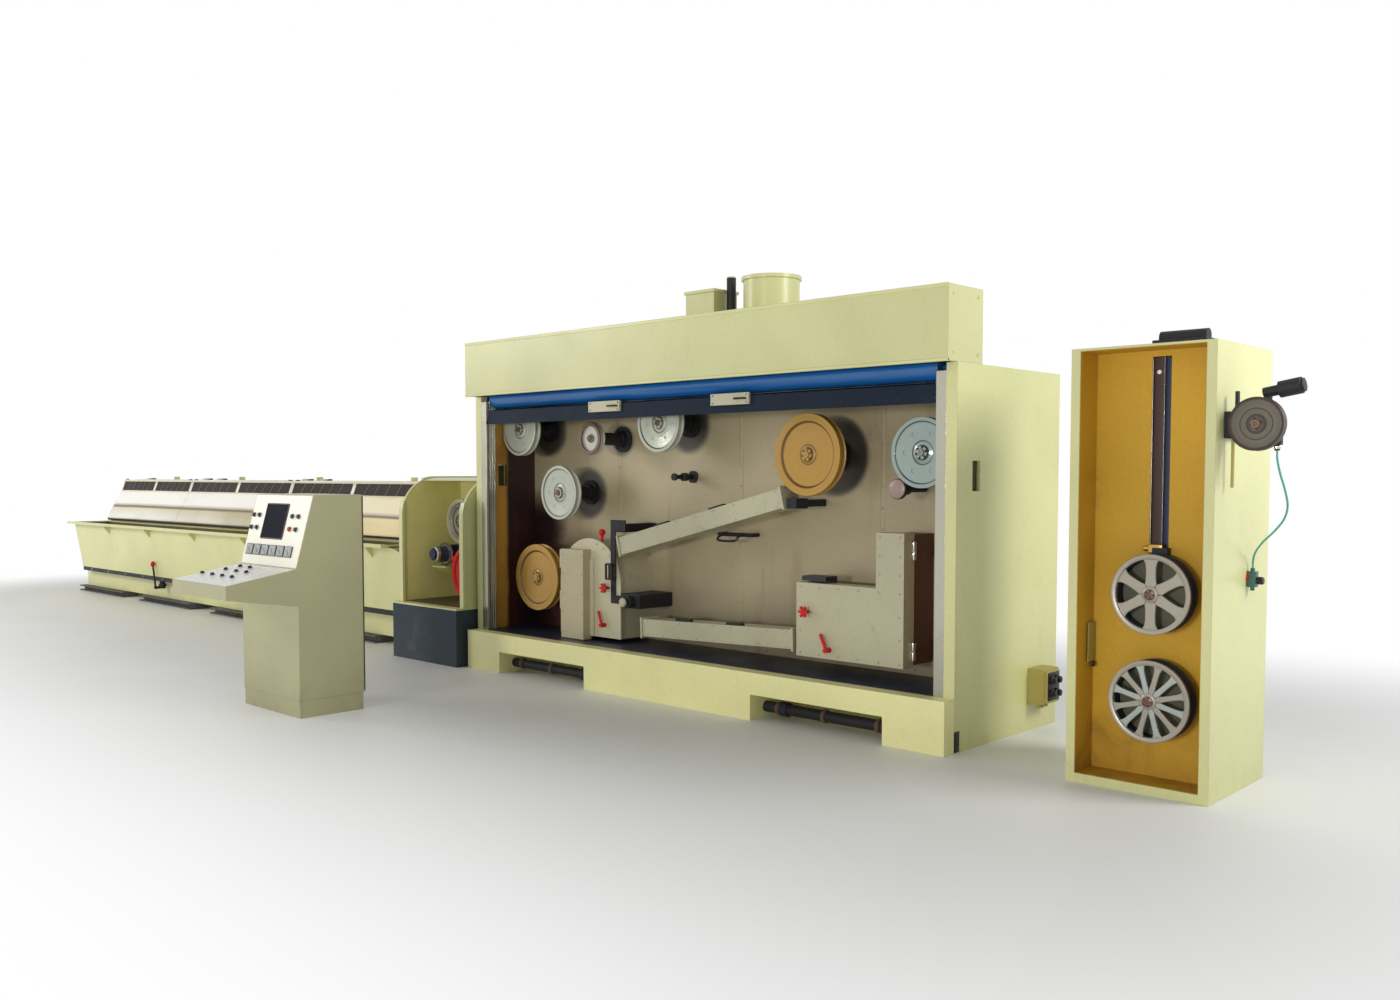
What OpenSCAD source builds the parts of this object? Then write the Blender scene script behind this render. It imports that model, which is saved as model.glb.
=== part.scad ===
// Rod breakdown wire drawing line: drawing machine, end capstan stand,
// continuous annealer, wire accumulator tower and operator desk.
// Line coordinates: x runs along the line from the annealer's left side,
// y runs back from the annealer's header front, z runs up from the floor.

/* [Annealer cabinet] */
// Width of the annealer cabinet
annealer_w = 4410; // [3900:10:4900]
// Depth of the annealer, header front to back wall
annealer_d = 1290; // [1150:10:1500]
// Height of the cabinet roof
cabinet_h = 2165; // [2100:5:2350]
// Height of the header box above the roof
header_h = 415; // [300:5:500]
// Depth of the header box
header_d = 360; // [340:5:420]
// Height of the plinth
plinth_h = 305; // [250:5:340]
// Set-back of the door frame behind the plinth front
frame_setback = 100; // [60:5:140]
// Thickness of the cabinet walls
wall_t = 40; // [25:1:50]
// Width of each door post, wall included
post_w = 70; // [60:1:90]
// Width of each shutter guide
guide_w = 65; // [50:1:80]
// Depth of the pulley chamber, header front to back plate
chamber_d = 650; // [600:5:720]
// Thickness of the chamber back plate
back_plate_t = 12; // [6:1:20]

/* [Annealer details] */
// Radius of the rolled shutter
roll_r = 80; // [60:1:80]
// Width of each plinth pocket
pocket_w = 1000; // [700:10:1200]
// Height of each plinth pocket
pocket_h = 165; // [100:5:190]
// Distance of each pocket from the cabinet's end
pocket_inset = 410; // [300:10:500]
// Radius of the exhaust stack
stack_r = 190; // [150:5:280]
// Height of the exhaust stack above the roof
stack_h = 710; // [400:10:800]
// Radius of the two contact pulleys
contact_r = 260; // [200:1:280]
// Radius of the four guide pulleys
guide_r = 207; // [150:1:230]
// Radius of the small guide pulley
small_r = 122; // [90:1:140]
// Radius of each pulley shaft
shaft_r = 25; // [15:1:32]
// Distance of the pulley fronts from the header front
pulley_y = 300; // [260:5:340]
// Height of the sloping steam tube's section
tube_h = 130; // [100:1:150]
// Depth of the steam tubes and box lids
tube_d = 150; // [100:1:200]

/* [Drawing machine] */
// Length of the drawing machine bed
machine_l = 8080; // [6000:10:9500]
// Height of the machine top
machine_h = 1460; // [1400:5:1600]
// Number of hood lids
lid_count = 4; // [4:1:4]
// Thickness of the hood lids
lid_t = 14; // [8:1:20]
// Depth of the machine, front wall to rear
machine_d = 1250; // [1000:10:1500]
// Height of the coolant tub rim
tub_rim_h = 920; // [860:5:940]
// Thickness of the tub sheet
tub_t = 12; // [6:1:20]
// Radius of the drawing capstans
capstan_r = 120; // [80:1:130]
// Number of drawing capstans
capstan_n = 13; // [9:1:14]

/* [Capstan stand] */
// Gap between the stand's cheeks and the annealer
stand_gap = 50; // [30:5:100]
// Width between the outer faces of the arched cheeks
stand_w = 900; // [800:10:1000]
// Height of the stand
stand_h = 1520; // [1480:5:1600]
// Radius of the cheeks' rounded corner
cheek_r = 320; // [150:5:350]
// Thickness of the cheeks
cheek_t = 25; // [12:1:40]
// Height of the dark base block
stand_base_h = 470; // [400:5:520]
// Radius of the draw-off capstan
draw_r = 185; // [150:1:200]

/* [Operator desk] */
// Width of the desk
desk_w = 760; // [650:10:900]
// Height of the desk
desk_h = 1417; // [1300:1:1500]
// Depth of the pedestal
desk_d = 455; // [400:5:550]
// Reach of the sloping keyboard shelf
desk_reach = 457; // [350:1:550]

/* [Accumulator tower] */
// Width of the tower
tower_w = 710; // [640:5:800]
// Depth of the tower
tower_d = 740; // [600:5:900]
// Height of the tower
tower_h = 2170; // [2050:5:2400]
// Thickness of the tower's walls
tower_t = 47; // [30:1:60]
// Depth of the yellow recess
recess_d = 185; // [160:1:240]
// Radius of the travelling wheel
dancer_r = 195; // [150:1:200]
// Radius of the fixed lower wheel
lower_r = 200; // [150:1:205]
// Thickness of the two tower wheels
wheel_t = 100; // [70:1:110]
// Travel of the carriage
dancer_travel = 900; // [500:10:900]
// Gap between the annealer and the tower
tower_gap = 710; // [500:10:900]

/* [Hidden] */
$fn = 64;

// Clearances
run_gap = 5;
pin_gap = 0.3;
// Colours
cream = [0.83, 0.80, 0.58];
ochre = [0.72, 0.52, 0.16];
steel = [0.62, 0.58, 0.50];
dark = [0.15, 0.16, 0.19];
orange = [0.80, 0.55, 0.20];
pale = [0.80, 0.82, 0.76];
blue = [0.08, 0.26, 0.50];
red = [0.75, 0.12, 0.10];
alloy = [0.68, 0.66, 0.62];
teal = [0.20, 0.55, 0.50];

// Annealer places
liner_w = 30;
chamber_front = frame_setback + 90;
plate_y = chamber_d - back_plate_t;
roll_y = frame_setback + 20 + roll_r;
roll_z = cabinet_h - 20;
header_t = 30;
guide_x = post_w;
curtain_t = 6;
tray_t = 15;
pocket_d = 420;
curtain_low = cabinet_h - 220;
bearing_r = 62;
shaft_in = 60;
neck = 22;
pulley_t = 70;
small_t = 45;
// Pulley centres, [x, z]
contact_upper = [annealer_w - 1205, cabinet_h - 492];
contact_lower = [wall_t + liner_w + contact_r + 168, plinth_h + contact_r + 172];
guide_entry = [wall_t + liner_w + guide_r + 13, cabinet_h - guide_r - 53];
guide_left = [contact_lower[0] + 277, cabinet_h - 758];
guide_middle = [annealer_w * 187 / 441, cabinet_h - guide_r - 46];
guide_exit = [annealer_w - wall_t - liner_w - guide_r - 83, cabinet_h - 490];
roller_at = [annealer_w - 550, cabinet_h - 703];
spindle_at = [guide_middle[0] + 30, cabinet_h - 635];
stack_x = annealer_w - 1755;
small_at = [guide_left[0] + 380, cabinet_h - 349];
// Boxes in the chamber
arch_r = 340;
arch_x = contact_lower[0] + contact_r + arch_r + 42;
arch_z = plinth_h + 425;
arch_low = plinth_h + 30;
seal_x1 = annealer_w - 470;
seal_x0 = seal_x1 - 810;
seal_low = plinth_h + 90;
seal_step_z = seal_low + 470;
seal_top = seal_low + 805;
seal_col_w = 200;
cover_x0 = arch_x - 240;
cover_x1 = arch_x + 15;
cover_d = 80;
cover_top = arch_z + 255;
lid_d = 110;
knob_x = arch_x + 95;
flange_t = 16;
upper_a = [arch_x + arch_r - 20, arch_z + 290];
upper_b = [contact_upper[0] - 189, contact_upper[1] - 272];
lower_a = [arch_x + arch_r + 220, plinth_h + 140];
lower_b = [seal_x0 - 20, plinth_h + 187];
handle_at = [(upper_a[0] + upper_b[0]) / 2 + 134, upper_a[1] + 110];
slot_y = 266;
slot_w = 86;
slot_z = cabinet_h - 710;
slot_h = 170;
notch = 120;
rear_doors = 4;
door_gap = 24;
door_t = 14;
louvres = 6;

// Drawing machine places
stand_x1 = -stand_gap;
stand_x0 = stand_x1 - stand_w;
machine_x1 = stand_x0 - 20;
machine_x0 = machine_x1 - machine_l;
bed_y = 300;
wall_y = 600;
rear_y = bed_y + machine_d;
foot_h = 70;
foot_l = 1450;
foot_n = 4;
bed_top = 330;
tub_y0 = 150;
tub_y1 = 200;
tub_low = bed_top;
case_y = 1000;
capstan_z = 1120;
capstan_reach = 190;
capstan_step = 16;
die_x = 160;
die_w = 90;
rim_t = 26;
rim_w = 70;
end_flare = 120;
tub_x1 = machine_x1 - 430;
end_round_x = 350;
end_round_z = 310;
gusset_n = 6;
lid_gap = 6;
// Ends of the lids as shares of the machine's length, and the window bays of each
lid_ends = [0, 0.2673, 0.5829, 0.9022, 1];
window_bays = [2, 2, 2, 1];
window_rib = 60;
hinge_y = 1085;
hinge_z = machine_h + 22;
pin_r = 6;
knuckle_r = 13;
end_t = 20;
drum_y = 250;
draw_at = [-565, 1150];
draw_y = 330;
draw_t = 110;
stand_back = 600;
lip_t = 14;
edge_t = 12;
motor_at = [-745, 865];
drum_at = [-340, 722];
drum_r = 235;

drain_x = 2560;

// Desk places
desk_x0 = 145;
desk_y1 = -1472;
desk_y0 = desk_y1 - desk_d;
desk_plinth_h = 112;
// Play under each control on the sloping faces
face_gap = 0.02;
shelf_front_z = 873;
shelf_back_z = 951;
shelf_t = 85;
shelf_under_z = 715;
face_top_y = desk_y1 - 338;
face_y = desk_y0 - 10;

// Tower places
tower_x0 = annealer_w + tower_gap;
tower_x1 = tower_x0 + tower_w;
tower_axis_x = tower_x0 + 405;
rail_x = tower_axis_x - 25;
liner_t = 10;
recess_back = recess_d;
wheel_y = 25;
lower_z = 450;
dancer_z = 970;
rail_slot_w = 95;
rail_low = 800;
rail_top = tower_h - 45;
rod_r = 16;
rod_y = recess_d + 60;
side_x = tower_x1 + 148;
side_z = 1779;
side_r = 123;
side_y = 75;
side_t = 40;
hose_r = 5;
hose_drop = 122;
valve_y = 460;
valve_z = 1040;

// Basic shapes
module box(a, b) {
    translate(a) cube(b - a);
}

module bar_y(x, z, r, y0, y1) {
    translate([x, y0, z]) rotate([-90, 0, 0]) cylinder(r = r, h = y1 - y0);
}

module bar_x(y, z, r, x0, x1) {
    translate([x0, y, z]) rotate([0, 90, 0]) cylinder(r = r, h = x1 - x0);
}

module bar_z(x, y, r, z0, z1) {
    translate([x, y, z0]) cylinder(r = r, h = z1 - z0);
}

// A solid swept along x from its outline in y and z
module along_x(x0, x1) {
    translate([x0, 0, 0]) rotate([90, 0, 90]) linear_extrude(x1 - x0) children();
}

// A solid swept along y from its outline in x and z, front face at y0
module along_y(y0, y1) {
    translate([0, y1, 0]) rotate([90, 0, 0]) linear_extrude(y1 - y0) children();
}

// A solid turned about y, from its outline in radius and depth
module turned_y(x, y, z) {
    translate([x, y, z]) rotate([-90, 0, 0]) rotate_extrude($fn = 96) children();
}

// Mirrors a piece to the cabinet's other side
module both_sides() {
    children();
    translate([annealer_w, 0, 0]) mirror([1, 0, 0]) children();
}

// Annealer cabinet
module pocket_cuts(depth) {
    both_sides() box([pocket_inset, -1, -1], [pocket_inset + pocket_w, depth, pocket_h]);
}

// Plinth front and the base frame behind it, with a pocket at each end
module annealer_plinth() {
    color(cream) difference() {
        union() {
            box([0, 0, 0], [annealer_w, frame_setback, plinth_h]);
            box([wall_t, frame_setback - 1, 0], [annealer_w - wall_t, annealer_d - wall_t, plinth_h - tray_t]);
        }
        pocket_cuts(pocket_d);
    }
}

module annealer_side_walls() {
    color(cream) both_sides() difference() {
        union() {
            box([0, frame_setback, 0], [wall_t, annealer_d, cabinet_h]);
            box([wall_t - 1, frame_setback, plinth_h], [post_w, frame_setback + 60, cabinet_h]);
        }
        box([-1, slot_y, slot_z], [wall_t + 1, slot_y + slot_w, slot_z + slot_h]);
        box([-1, frame_setback - 1, -1], [wall_t + 1, frame_setback + 66, notch]);
    }
}

// Rear wall with raised access doors and a louvre field in each
module annealer_rear_wall() {
    w = (annealer_w - 2 * wall_t - (rear_doors + 1) * door_gap) / rear_doors;
    color(cream) difference() {
        union() {
            box([wall_t, annealer_d - wall_t, 0], [annealer_w - wall_t, annealer_d, cabinet_h]);
            for (i = [0:rear_doors - 1])
                translate([wall_t + door_gap + i * (w + door_gap), annealer_d - 1, plinth_h])
                    cube([w, door_t + 1, cabinet_h - plinth_h - 2 * door_gap]);
        }
        for (i = [0:rear_doors - 1])
            for (k = [0:louvres - 1])
                translate([wall_t + door_gap + i * (w + door_gap) + w / 4, annealer_d + door_t - 8, cabinet_h - 420 + k * 40])
                    cube([w / 2, 9, 14]);
    }
}

module annealer_roof() {
    color(cream) box([wall_t, header_d, cabinet_h - wall_t], [annealer_w - wall_t, annealer_d - wall_t, cabinet_h]);
}

module annealer_header() {
    color(cream) difference() {
        box([0, 0, cabinet_h], [annealer_w, header_d, cabinet_h + header_h]);
        box([header_t, header_t, cabinet_h - 1], [annealer_w - header_t, header_d - header_t, cabinet_h + header_h - header_t]);
    }
}

module shutter_guides() {
    color(alloy) both_sides() difference() {
        box([guide_x, frame_setback, plinth_h], [guide_x + guide_w, chamber_front, roll_z - 24]);
        box([guide_x + guide_w - 30, frame_setback + 6, plinth_h - 1], [guide_x + guide_w + 1, frame_setback + 34, roll_z]);
        for (y = [frame_setback + 48, frame_setback + 70])
            box([guide_x + guide_w - 8, y, plinth_h - 1], [guide_x + guide_w + 1, y + 10, roll_z]);
    }
}

module shutter_roll() {
    color(blue) union() {
        bar_x(roll_y, roll_z, roll_r, guide_x + guide_w + 10, annealer_w - guide_x - guide_w - 10);
        bar_x(roll_y, roll_z, 18, wall_t, annealer_w - wall_t);
    }
}

// Band that runs in the guides, and the cloth from it to the underside of the roll
module shutter_curtain() {
    y1 = roll_y - roll_r;
    x0 = guide_x + guide_w - 20;
    top = roll_z - roll_r - 15;
    color(dark) difference() {
        union() {
            box([x0 + 30, y1 - curtain_t, curtain_low + 29], [annealer_w - x0 - 30, y1, top]);
            box([x0, y1 - curtain_t - 2, curtain_low], [annealer_w - x0, y1 + 8, curtain_low + 30]);
            along_x(x0 + 30, annealer_w - x0 - 30) polygon([[y1 - 1, top - 8], [y1 - 1, top - 1],
                [roll_y, roll_z - roll_r + 3], [roll_y + 8, roll_z - roll_r - 4]]);
        }
        bar_x(roll_y, roll_z, roll_r + 0.2, 0, annealer_w);
    }
}

module shutter_handles() {
    y1 = roll_y - roll_r - curtain_t;
    color(pale) for (x = [annealer_w / 2 - 675, annealer_w / 2 + 530])
        box([x - 165, y1 - 18, curtain_low + 50], [x + 165, y1, curtain_low + 125]);
}

module chamber_liners() {
    color(ochre) both_sides() difference() {
        box([wall_t, chamber_front, plinth_h], [wall_t + liner_w, plate_y, roll_z - 40]);
        box([wall_t - 1, slot_y, slot_z], [wall_t + liner_w + 1, slot_y + slot_w, slot_z + slot_h]);
    }
}

module chamber_back_plate() {
    color(steel) box([wall_t, plate_y, plinth_h], [annealer_w - wall_t, chamber_d, cabinet_h - wall_t]);
}

module chamber_tray() {
    color(dark) box([wall_t, frame_setback, plinth_h - tray_t], [annealer_w - wall_t, chamber_d, plinth_h]);
}

// Pulleys turn on shafts in these bearings
module bearing(at, back) {
    y0 = back + neck;
    turned_y(at[0], 0, at[1]) difference() {
        polygon([[0, y0], [bearing_r - 12, y0], [bearing_r, y0 + 12], [bearing_r, y0 + 40], [bearing_r - 14, y0 + 46],
            [bearing_r - 14, plate_y - 60], [bearing_r, plate_y - 54], [bearing_r, plate_y - 20],
            [bearing_r + 35, plate_y - 20], [bearing_r + 35, plate_y], [0, plate_y]]);
        translate([-1, y0 - 1]) square([1 + shaft_r + pin_gap, shaft_in + 1]);
    }
}

module pulley_bearings() {
    color(dark) union() {
        for (at = [contact_upper, contact_lower, guide_entry, guide_left, guide_middle, guide_exit])
            bearing(at, pulley_y + pulley_t);
        bearing(small_at, pulley_y + small_t);
    }
}

module pulley_shaft(at, back) {
    bar_y(at[0], at[1], shaft_r, back - 1, back + neck + shaft_in - pin_gap);
}

// Contact pulley: flat ring face, sunk web and domed hub
module contact_pulley(at) {
    color(orange) union() {
        turned_y(at[0], pulley_y, at[1]) polygon([[0, 0], [42, 0], [42, 12], [60, 18], [contact_r - 60, 18],
            [contact_r - 45, 4], [contact_r, 4], [contact_r, 22], [contact_r - 14, 30],
            [contact_r - 14, pulley_t - 12], [contact_r, pulley_t - 6], [contact_r, pulley_t], [0, pulley_t]]);
        pulley_shaft(at, pulley_y + pulley_t);
    }
}

// Guide pulley: dished disc with a grooved rim and six holes
module guide_pulley(at) {
    color(pale) difference() {
        union() {
            turned_y(at[0], pulley_y, at[1]) polygon([[0, 0], [40, 0], [46, 14], [70, 22], [guide_r - 30, 10],
                [guide_r - 22, 2], [guide_r, 2], [guide_r, 12], [guide_r - 18, 28], [guide_r - 18, 34],
                [guide_r, 50], [guide_r, 60], [guide_r - 30, 60], [guide_r - 40, 44], [70, 44], [70, pulley_t], [0, pulley_t]]);
            pulley_shaft(at, pulley_y + pulley_t);
        }
        for (a = [0:60:300])
            bar_y(at[0] + 120 * cos(a), at[1] + 120 * sin(a), 14, pulley_y - 1, pulley_y + pulley_t + 1);
    }
}

module small_pulley(at) {
    color(pale) union() {
        turned_y(at[0], pulley_y, at[1]) polygon([[0, -10], [26, -10], [26, 6], [small_r - 20, 6], [small_r - 16, 0],
            [small_r, 0], [small_r, 12], [small_r - 14, 20], [small_r, 30], [small_r, 40], [60, 40], [60, small_t], [0, small_t]]);
        pulley_shaft(at, pulley_y + small_t);
    }
}

// Chamber boxes and tubes
module tube_piece(a, b, y0, y1, h) {
    run = [b[0] - a[0], b[1] - a[1]];
    l = norm(run);
    translate([a[0], 0, a[1]]) rotate([0, -atan2(run[1], run[0]), 0]) box([0, y0, -h / 2], [l, y1, h / 2]);
}

// Fixed wire spindle, U handle, tube end box and small arms on the back plate
module chamber_fittings() {
    color(dark) {
        turned_y(spindle_at[0], 0, spindle_at[1]) polygon([[0, 430], [26, 430], [26, 446], [16, 450], [16, 520], [30, 524], [30, 560],
            [18, 564], [18, plate_y - 16], [44, plate_y - 16], [44, plate_y], [0, plate_y]]);
        union() {
            for (x = [handle_at[0] - 147, handle_at[0] + 148]) {
                bar_y(x, handle_at[1], 14, plate_y - 78, plate_y);
                translate([x, plate_y - 78, handle_at[1]]) sphere(r = 14);
            }
            bar_x(plate_y - 78, handle_at[1], 14, handle_at[0] - 147, handle_at[0] + 148);
        }
        union() {
            box([upper_b[0] + 26, pulley_y + 10, upper_b[1] - 71], [upper_b[0] + 100, pulley_y + 130, upper_b[1] - 6]);
            box([upper_b[0] + 36, pulley_y + 129, upper_b[1] - 61], [upper_b[0] + 90, plate_y, upper_b[1] - 16]);
        }
        union() {
            bar_y(roller_at[0], roller_at[1], 62, pulley_y + 40, pulley_y + 62);
            bar_y(roller_at[0], roller_at[1], 22, pulley_y + 60, plate_y);
            bar_y(roller_at[0], roller_at[1], 36, pulley_y + 110, pulley_y + 150);
        }
    }
}

// A tube with an end flange at each end and stays to the back plate
module steam_tube(a, b, h, stays) {
    y1 = pulley_y + tube_d;
    l = norm(b - a);
    slope = (b[1] - a[1]) / (b[0] - a[0]);
    tube_piece(a, b, pulley_y, y1, h);
    for (t = [0, l - flange_t])
        tube_piece(a + (b - a) * t / l, a + (b - a) * (t + flange_t) / l, pulley_y - 12, y1 + 12, h + 24);
    for (x = stays)
        box([x, y1 - 1, a[1] + (x + 45 - a[0]) * slope - 30], [x + 90, plate_y, a[1] + (x + 45 - a[0]) * slope + 30]);
}

module steam_tubes() {
    color(pale) {
        union() steam_tube(upper_a, upper_b, tube_h, [upper_a[0] + 290, upper_b[0] - 366]);
        union() steam_tube(lower_a, lower_b, tube_h - 5, [lower_a[0] + 100, lower_b[0] - 610]);
    }
}

module arch_outline(r) {
    translate([arch_x, arch_z]) circle(r = r);
    translate([arch_x - r, arch_low]) square([2 * r, arch_z - arch_low]);
}

module arch_contact_box() {
    color(pale) union() {
        along_y(pulley_y + 14, plate_y) arch_outline(arch_r - 12);
        along_y(pulley_y, pulley_y + 15) arch_outline(arch_r);
        box([cover_x0, pulley_y - cover_d, arch_low - 25], [cover_x1, pulley_y + 1, cover_top]);
        box([cover_x1 - 1, pulley_y - 12, arch_low], [cover_x1 + 40, pulley_y + 1, cover_top - 70]);
        for (z = [arch_z - 150, arch_z + 170]) {
            bar_z(arch_x - arch_r - 14, pulley_y + 24, 16, z - 70, z + 70);
            box([arch_x - arch_r - 14, pulley_y + 16, z - 12], [arch_x - arch_r / 2, pulley_y + 32, z + 12]);
        }
    }
}

// Contact drive motor, its post to the upper tube and a loop handle
module contact_motor() {
    x = arch_x + arch_r;
    z = arch_z - 105;
    top = upper_a[1] + 195;
    color(dark) union() {
        box([x, pulley_y, z - 50], [x + 200, plate_y, z + 50]);
        bar_y(x + 115, z, 46, pulley_y - 55, pulley_y + 1);
        bar_y(x + 115, z, 24, pulley_y - 75, pulley_y - 54);
        box([x - 95, pulley_y - 10, z - 25], [x - 46, pulley_y, top - 25]);
        box([x - 95, pulley_y - 10, z - 25], [x + 60, pulley_y, z + 35]);
        box([x - 95, pulley_y - 10, top - 85], [x + 60, pulley_y, top]);
        box([x - 55, pulley_y - 1, top - 90], [x + 30, plate_y, top - 30]);
        loop_handle(x - 110, pulley_y - 10, z + 150, 72, 120);
    }
}

// A rectangular loop of flat bar that stands proud of the face at y
module loop_handle(x, y, z, w, h) {
    difference() {
        box([x, y - 45, z], [x + w, y, z + h]);
        box([x + 12, y - 46, z + 12], [x + w - 12, y - 12, z + h - 12]);
        box([x - 1, y - 33, z + 12], [x + w + 1, y - 12, z + h - 12]);
    }
}

module seal_outline(grow) {
    polygon([[seal_x0 - grow, seal_low - grow], [seal_x1 + grow, seal_low - grow], [seal_x1 + grow, seal_top + grow],
        [seal_x1 - seal_col_w - grow, seal_top + grow], [seal_x1 - seal_col_w - grow, seal_step_z + grow],
        [seal_x0 - grow, seal_step_z + grow]]);
}

module water_seal_box() {
    color([0.32, 0.18, 0.12]) union() {
        along_y(pulley_y + lid_d, plate_y) seal_outline(-10);
        box([seal_x0 + 20, pulley_y + 30, seal_step_z + 10], [seal_x0 + 210, pulley_y + lid_d, seal_step_z + 40]);
        box([seal_x0 + 20, pulley_y + lid_d, seal_step_z - 11], [seal_x0 + 210, pulley_y + lid_d + 40, seal_step_z + 40]);
    }
}

// Lid with two hinge blocks on its right edge
module water_seal_lid() {
    color(pale) union() {
        along_y(pulley_y, pulley_y + lid_d) seal_outline(0);
        for (z = [seal_low + 40, seal_top - 160])
            bar_z(seal_x1 + 12, pulley_y + lid_d - 24, 13, z, z + 110);
        for (z = [seal_low + 60, seal_top - 140])
            box([seal_x1 - 1, pulley_y + lid_d - 32, z], [seal_x1 + 14, pulley_y + lid_d - 16, z + 70]);
    }
}

module lever(x, z, turn) {
    translate([x, pulley_y - 40, z]) rotate([0, turn, 0]) box([-9, 0, 0], [9, 12, 110]);
    bar_y(x, z, 16, pulley_y - 50, pulley_y);
}

// Star grip on a short stem
module star_grip(x, z) {
    y = pulley_y;
    turned_y(x, y, z) polygon([[0, -58], [16, -58], [20, -52], [20, -40], [10, -34], [10, 0], [0, 0]]);
    for (a = [0:60:120])
        translate([x, y - 56, z]) rotate([0, a, 0]) box([-36, 0, -8], [36, 14, 8]);
}

module valve_handles() {
    color(red) {
        star_grip(arch_x + 205, arch_z - 20);
        star_grip(seal_x0 + 93, seal_step_z - 181);
        lever(arch_x + 170, arch_low + 95, -20);
        lever(seal_x0 + 265, seal_low + 60, -25);
        union() {
            bar_z(knob_x, pulley_y + 40, 12, arch_z + sqrt(pow(arch_r - 12, 2) - pow(knob_x - 12 - arch_x, 2)) + 0.3, arch_z + arch_r + 32);
            translate([knob_x, pulley_y + 40, arch_z + arch_r + 45]) sphere(r = 26);
        }
    }
}

module exhaust_stack() {
    y = header_d + stack_r + 60;
    color(cream) {
        translate([stack_x, y, cabinet_h]) difference() {
            union() {
                cylinder(r = stack_r, h = stack_h);
                translate([0, 0, stack_h - 24]) cylinder(r = stack_r + 14, h = 24);
                cylinder(r = stack_r + 40, h = 10);
            }
            translate([0, 0, 5]) cylinder(r = stack_r - 6, h = stack_h);
        }
        union() {
            box([stack_x - stack_r - 500, y - 120, cabinet_h], [stack_x - stack_r - 230, y + 120, cabinet_h + stack_h - 60]);
            box([stack_x - stack_r - 510, y - 130, cabinet_h + stack_h - 61], [stack_x - stack_r - 220, y + 130, cabinet_h + stack_h - 40]);
        }
        bar_z(stack_x - stack_r - 175, y, 30, cabinet_h, cabinet_h + stack_h + 45);
    }
}

module junction_box() {
    x0 = annealer_w;
    color(ochre) union() {
        box([x0, 930, 170], [x0 + 105, 1115, 380]);
        box([x0 + 104, 940, 180], [x0 + 120, 1105, 370]);
        for (y = [965, 1010, 1055])
            bar_z(x0 + 55, y, 15, 140, 171);
    }
}

module drain_pipes() {
    color(dark) both_sides() {
        bar_x(frame_setback + 60, 70, 35, pocket_inset, pocket_inset + pocket_w);
        bar_x(frame_setback + 60, 70, 46, pocket_inset + pocket_w - 190, pocket_inset + pocket_w - 130);
    }
}

// Capstan stand
module stand_base_block() {
    color(dark) box([stand_x0 - 20, -75, 0], [stand_x1, machine_d, stand_base_h - lip_t]);
}

module cheek_outline(grow) {
    y0 = -grow;
    y1 = machine_d;
    z1 = stand_h + grow;
    r = cheek_r + grow;
    difference() {
        translate([y0, stand_base_h]) square([y1 - y0, z1 - stand_base_h]);
        difference() {
            translate([y0 - 1, z1 - r]) square([r + 1, r + 1]);
            translate([y0 + r, z1 - r]) circle(r = r);
        }
    }
}

// Arched cheeks with rolled edges, in front of the closed drive housing with its bracket and box
module stand_housing() {
    color(cream) union() {
        difference() {
            along_x(stand_x0, stand_x1) cheek_outline(0);
            along_x(stand_x0 + cheek_t, stand_x1 - cheek_t) translate([-1, 0]) square([stand_back + 1, stand_h - cheek_t]);
        }
        for (x = [stand_x0 + cheek_t / 2, stand_x1 - cheek_t / 2]) difference() {
            along_x(x - cheek_t, x + cheek_t) cheek_outline(edge_t);
            along_x(x - cheek_t - 1, x + cheek_t + 1) translate([edge_t, 0]) square([machine_d, stand_h - edge_t]);
            along_x(x - cheek_t - 1, x + cheek_t + 1) cheek_outline(-edge_t);
        }
        box([stand_x0 - 20, -75, stand_base_h - lip_t], [stand_x1, machine_d, stand_base_h]);
        box([stand_x1 - 1, stand_back, stand_base_h], [0, machine_d, stand_h - 20]);
        along_x(motor_at[0] - 90, motor_at[0] + 110) polygon([[230, motor_at[1] - 100], [stand_back + 1, motor_at[1] - 100],
            [stand_back + 1, motor_at[1] - 250], [stand_back - 60, motor_at[1] - 250], [230, motor_at[1] - 112]]);
        box([stand_x0 + cheek_t - 1, stand_back - 60, 1080], [stand_x0 + cheek_t + 150, stand_back + 1, 1260]);
    }
}

module stand_drive() {
    color(blue) {
        union() {
            bar_y(motor_at[0], motor_at[1], 66, 190, stand_back);
            bar_y(motor_at[0], motor_at[1], 96, 300, 318);
            bar_y(motor_at[0], motor_at[1], 40, 170, 191);
            box([motor_at[0] - 20, 420, motor_at[1] - 100], [motor_at[0] + 20, 460, motor_at[1] - 50]);
        }
        box([motor_at[0] + 60, stand_back - 120, stand_base_h], [motor_at[0] + 105, stand_back, motor_at[1] - 251]);
        difference() {
            bar_y(draw_at[0], draw_at[1], 75, draw_y + draw_t + run_gap, stand_back);
            bar_y(draw_at[0], draw_at[1], shaft_r + pin_gap, draw_y, draw_y + draw_t + neck + shaft_in);
        }
    }
}

// Drum that takes up the spare wire beside the base
module stand_drum() {
    color(red) turned_y(drum_at[0], 0, drum_at[1]) polygon([[0, drum_y], [40, drum_y], [60, drum_y + 14],
        [drum_r - 45, drum_y + 14], [drum_r - 30, drum_y], [drum_r, drum_y], [drum_r, drum_y + 60], [50, drum_y + 60],
        [50, stand_back], [0, stand_back]]);
}

module draw_capstan() {
    color(pale) union() {
        turned_y(draw_at[0], draw_y, draw_at[1]) polygon([[0, 0], [60, 0], [60, 20], [draw_r - 40, 20],
            [draw_r - 30, 0], [draw_r, 0], [draw_r, draw_t], [0, draw_t]]);
        pulley_shaft(draw_at, draw_y + draw_t);
    }
}

// Drawing machine
module machine_bed() {
    color(cream) box([machine_x0, bed_y, foot_h], [machine_x1, rear_y, bed_top]);
}

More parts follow.
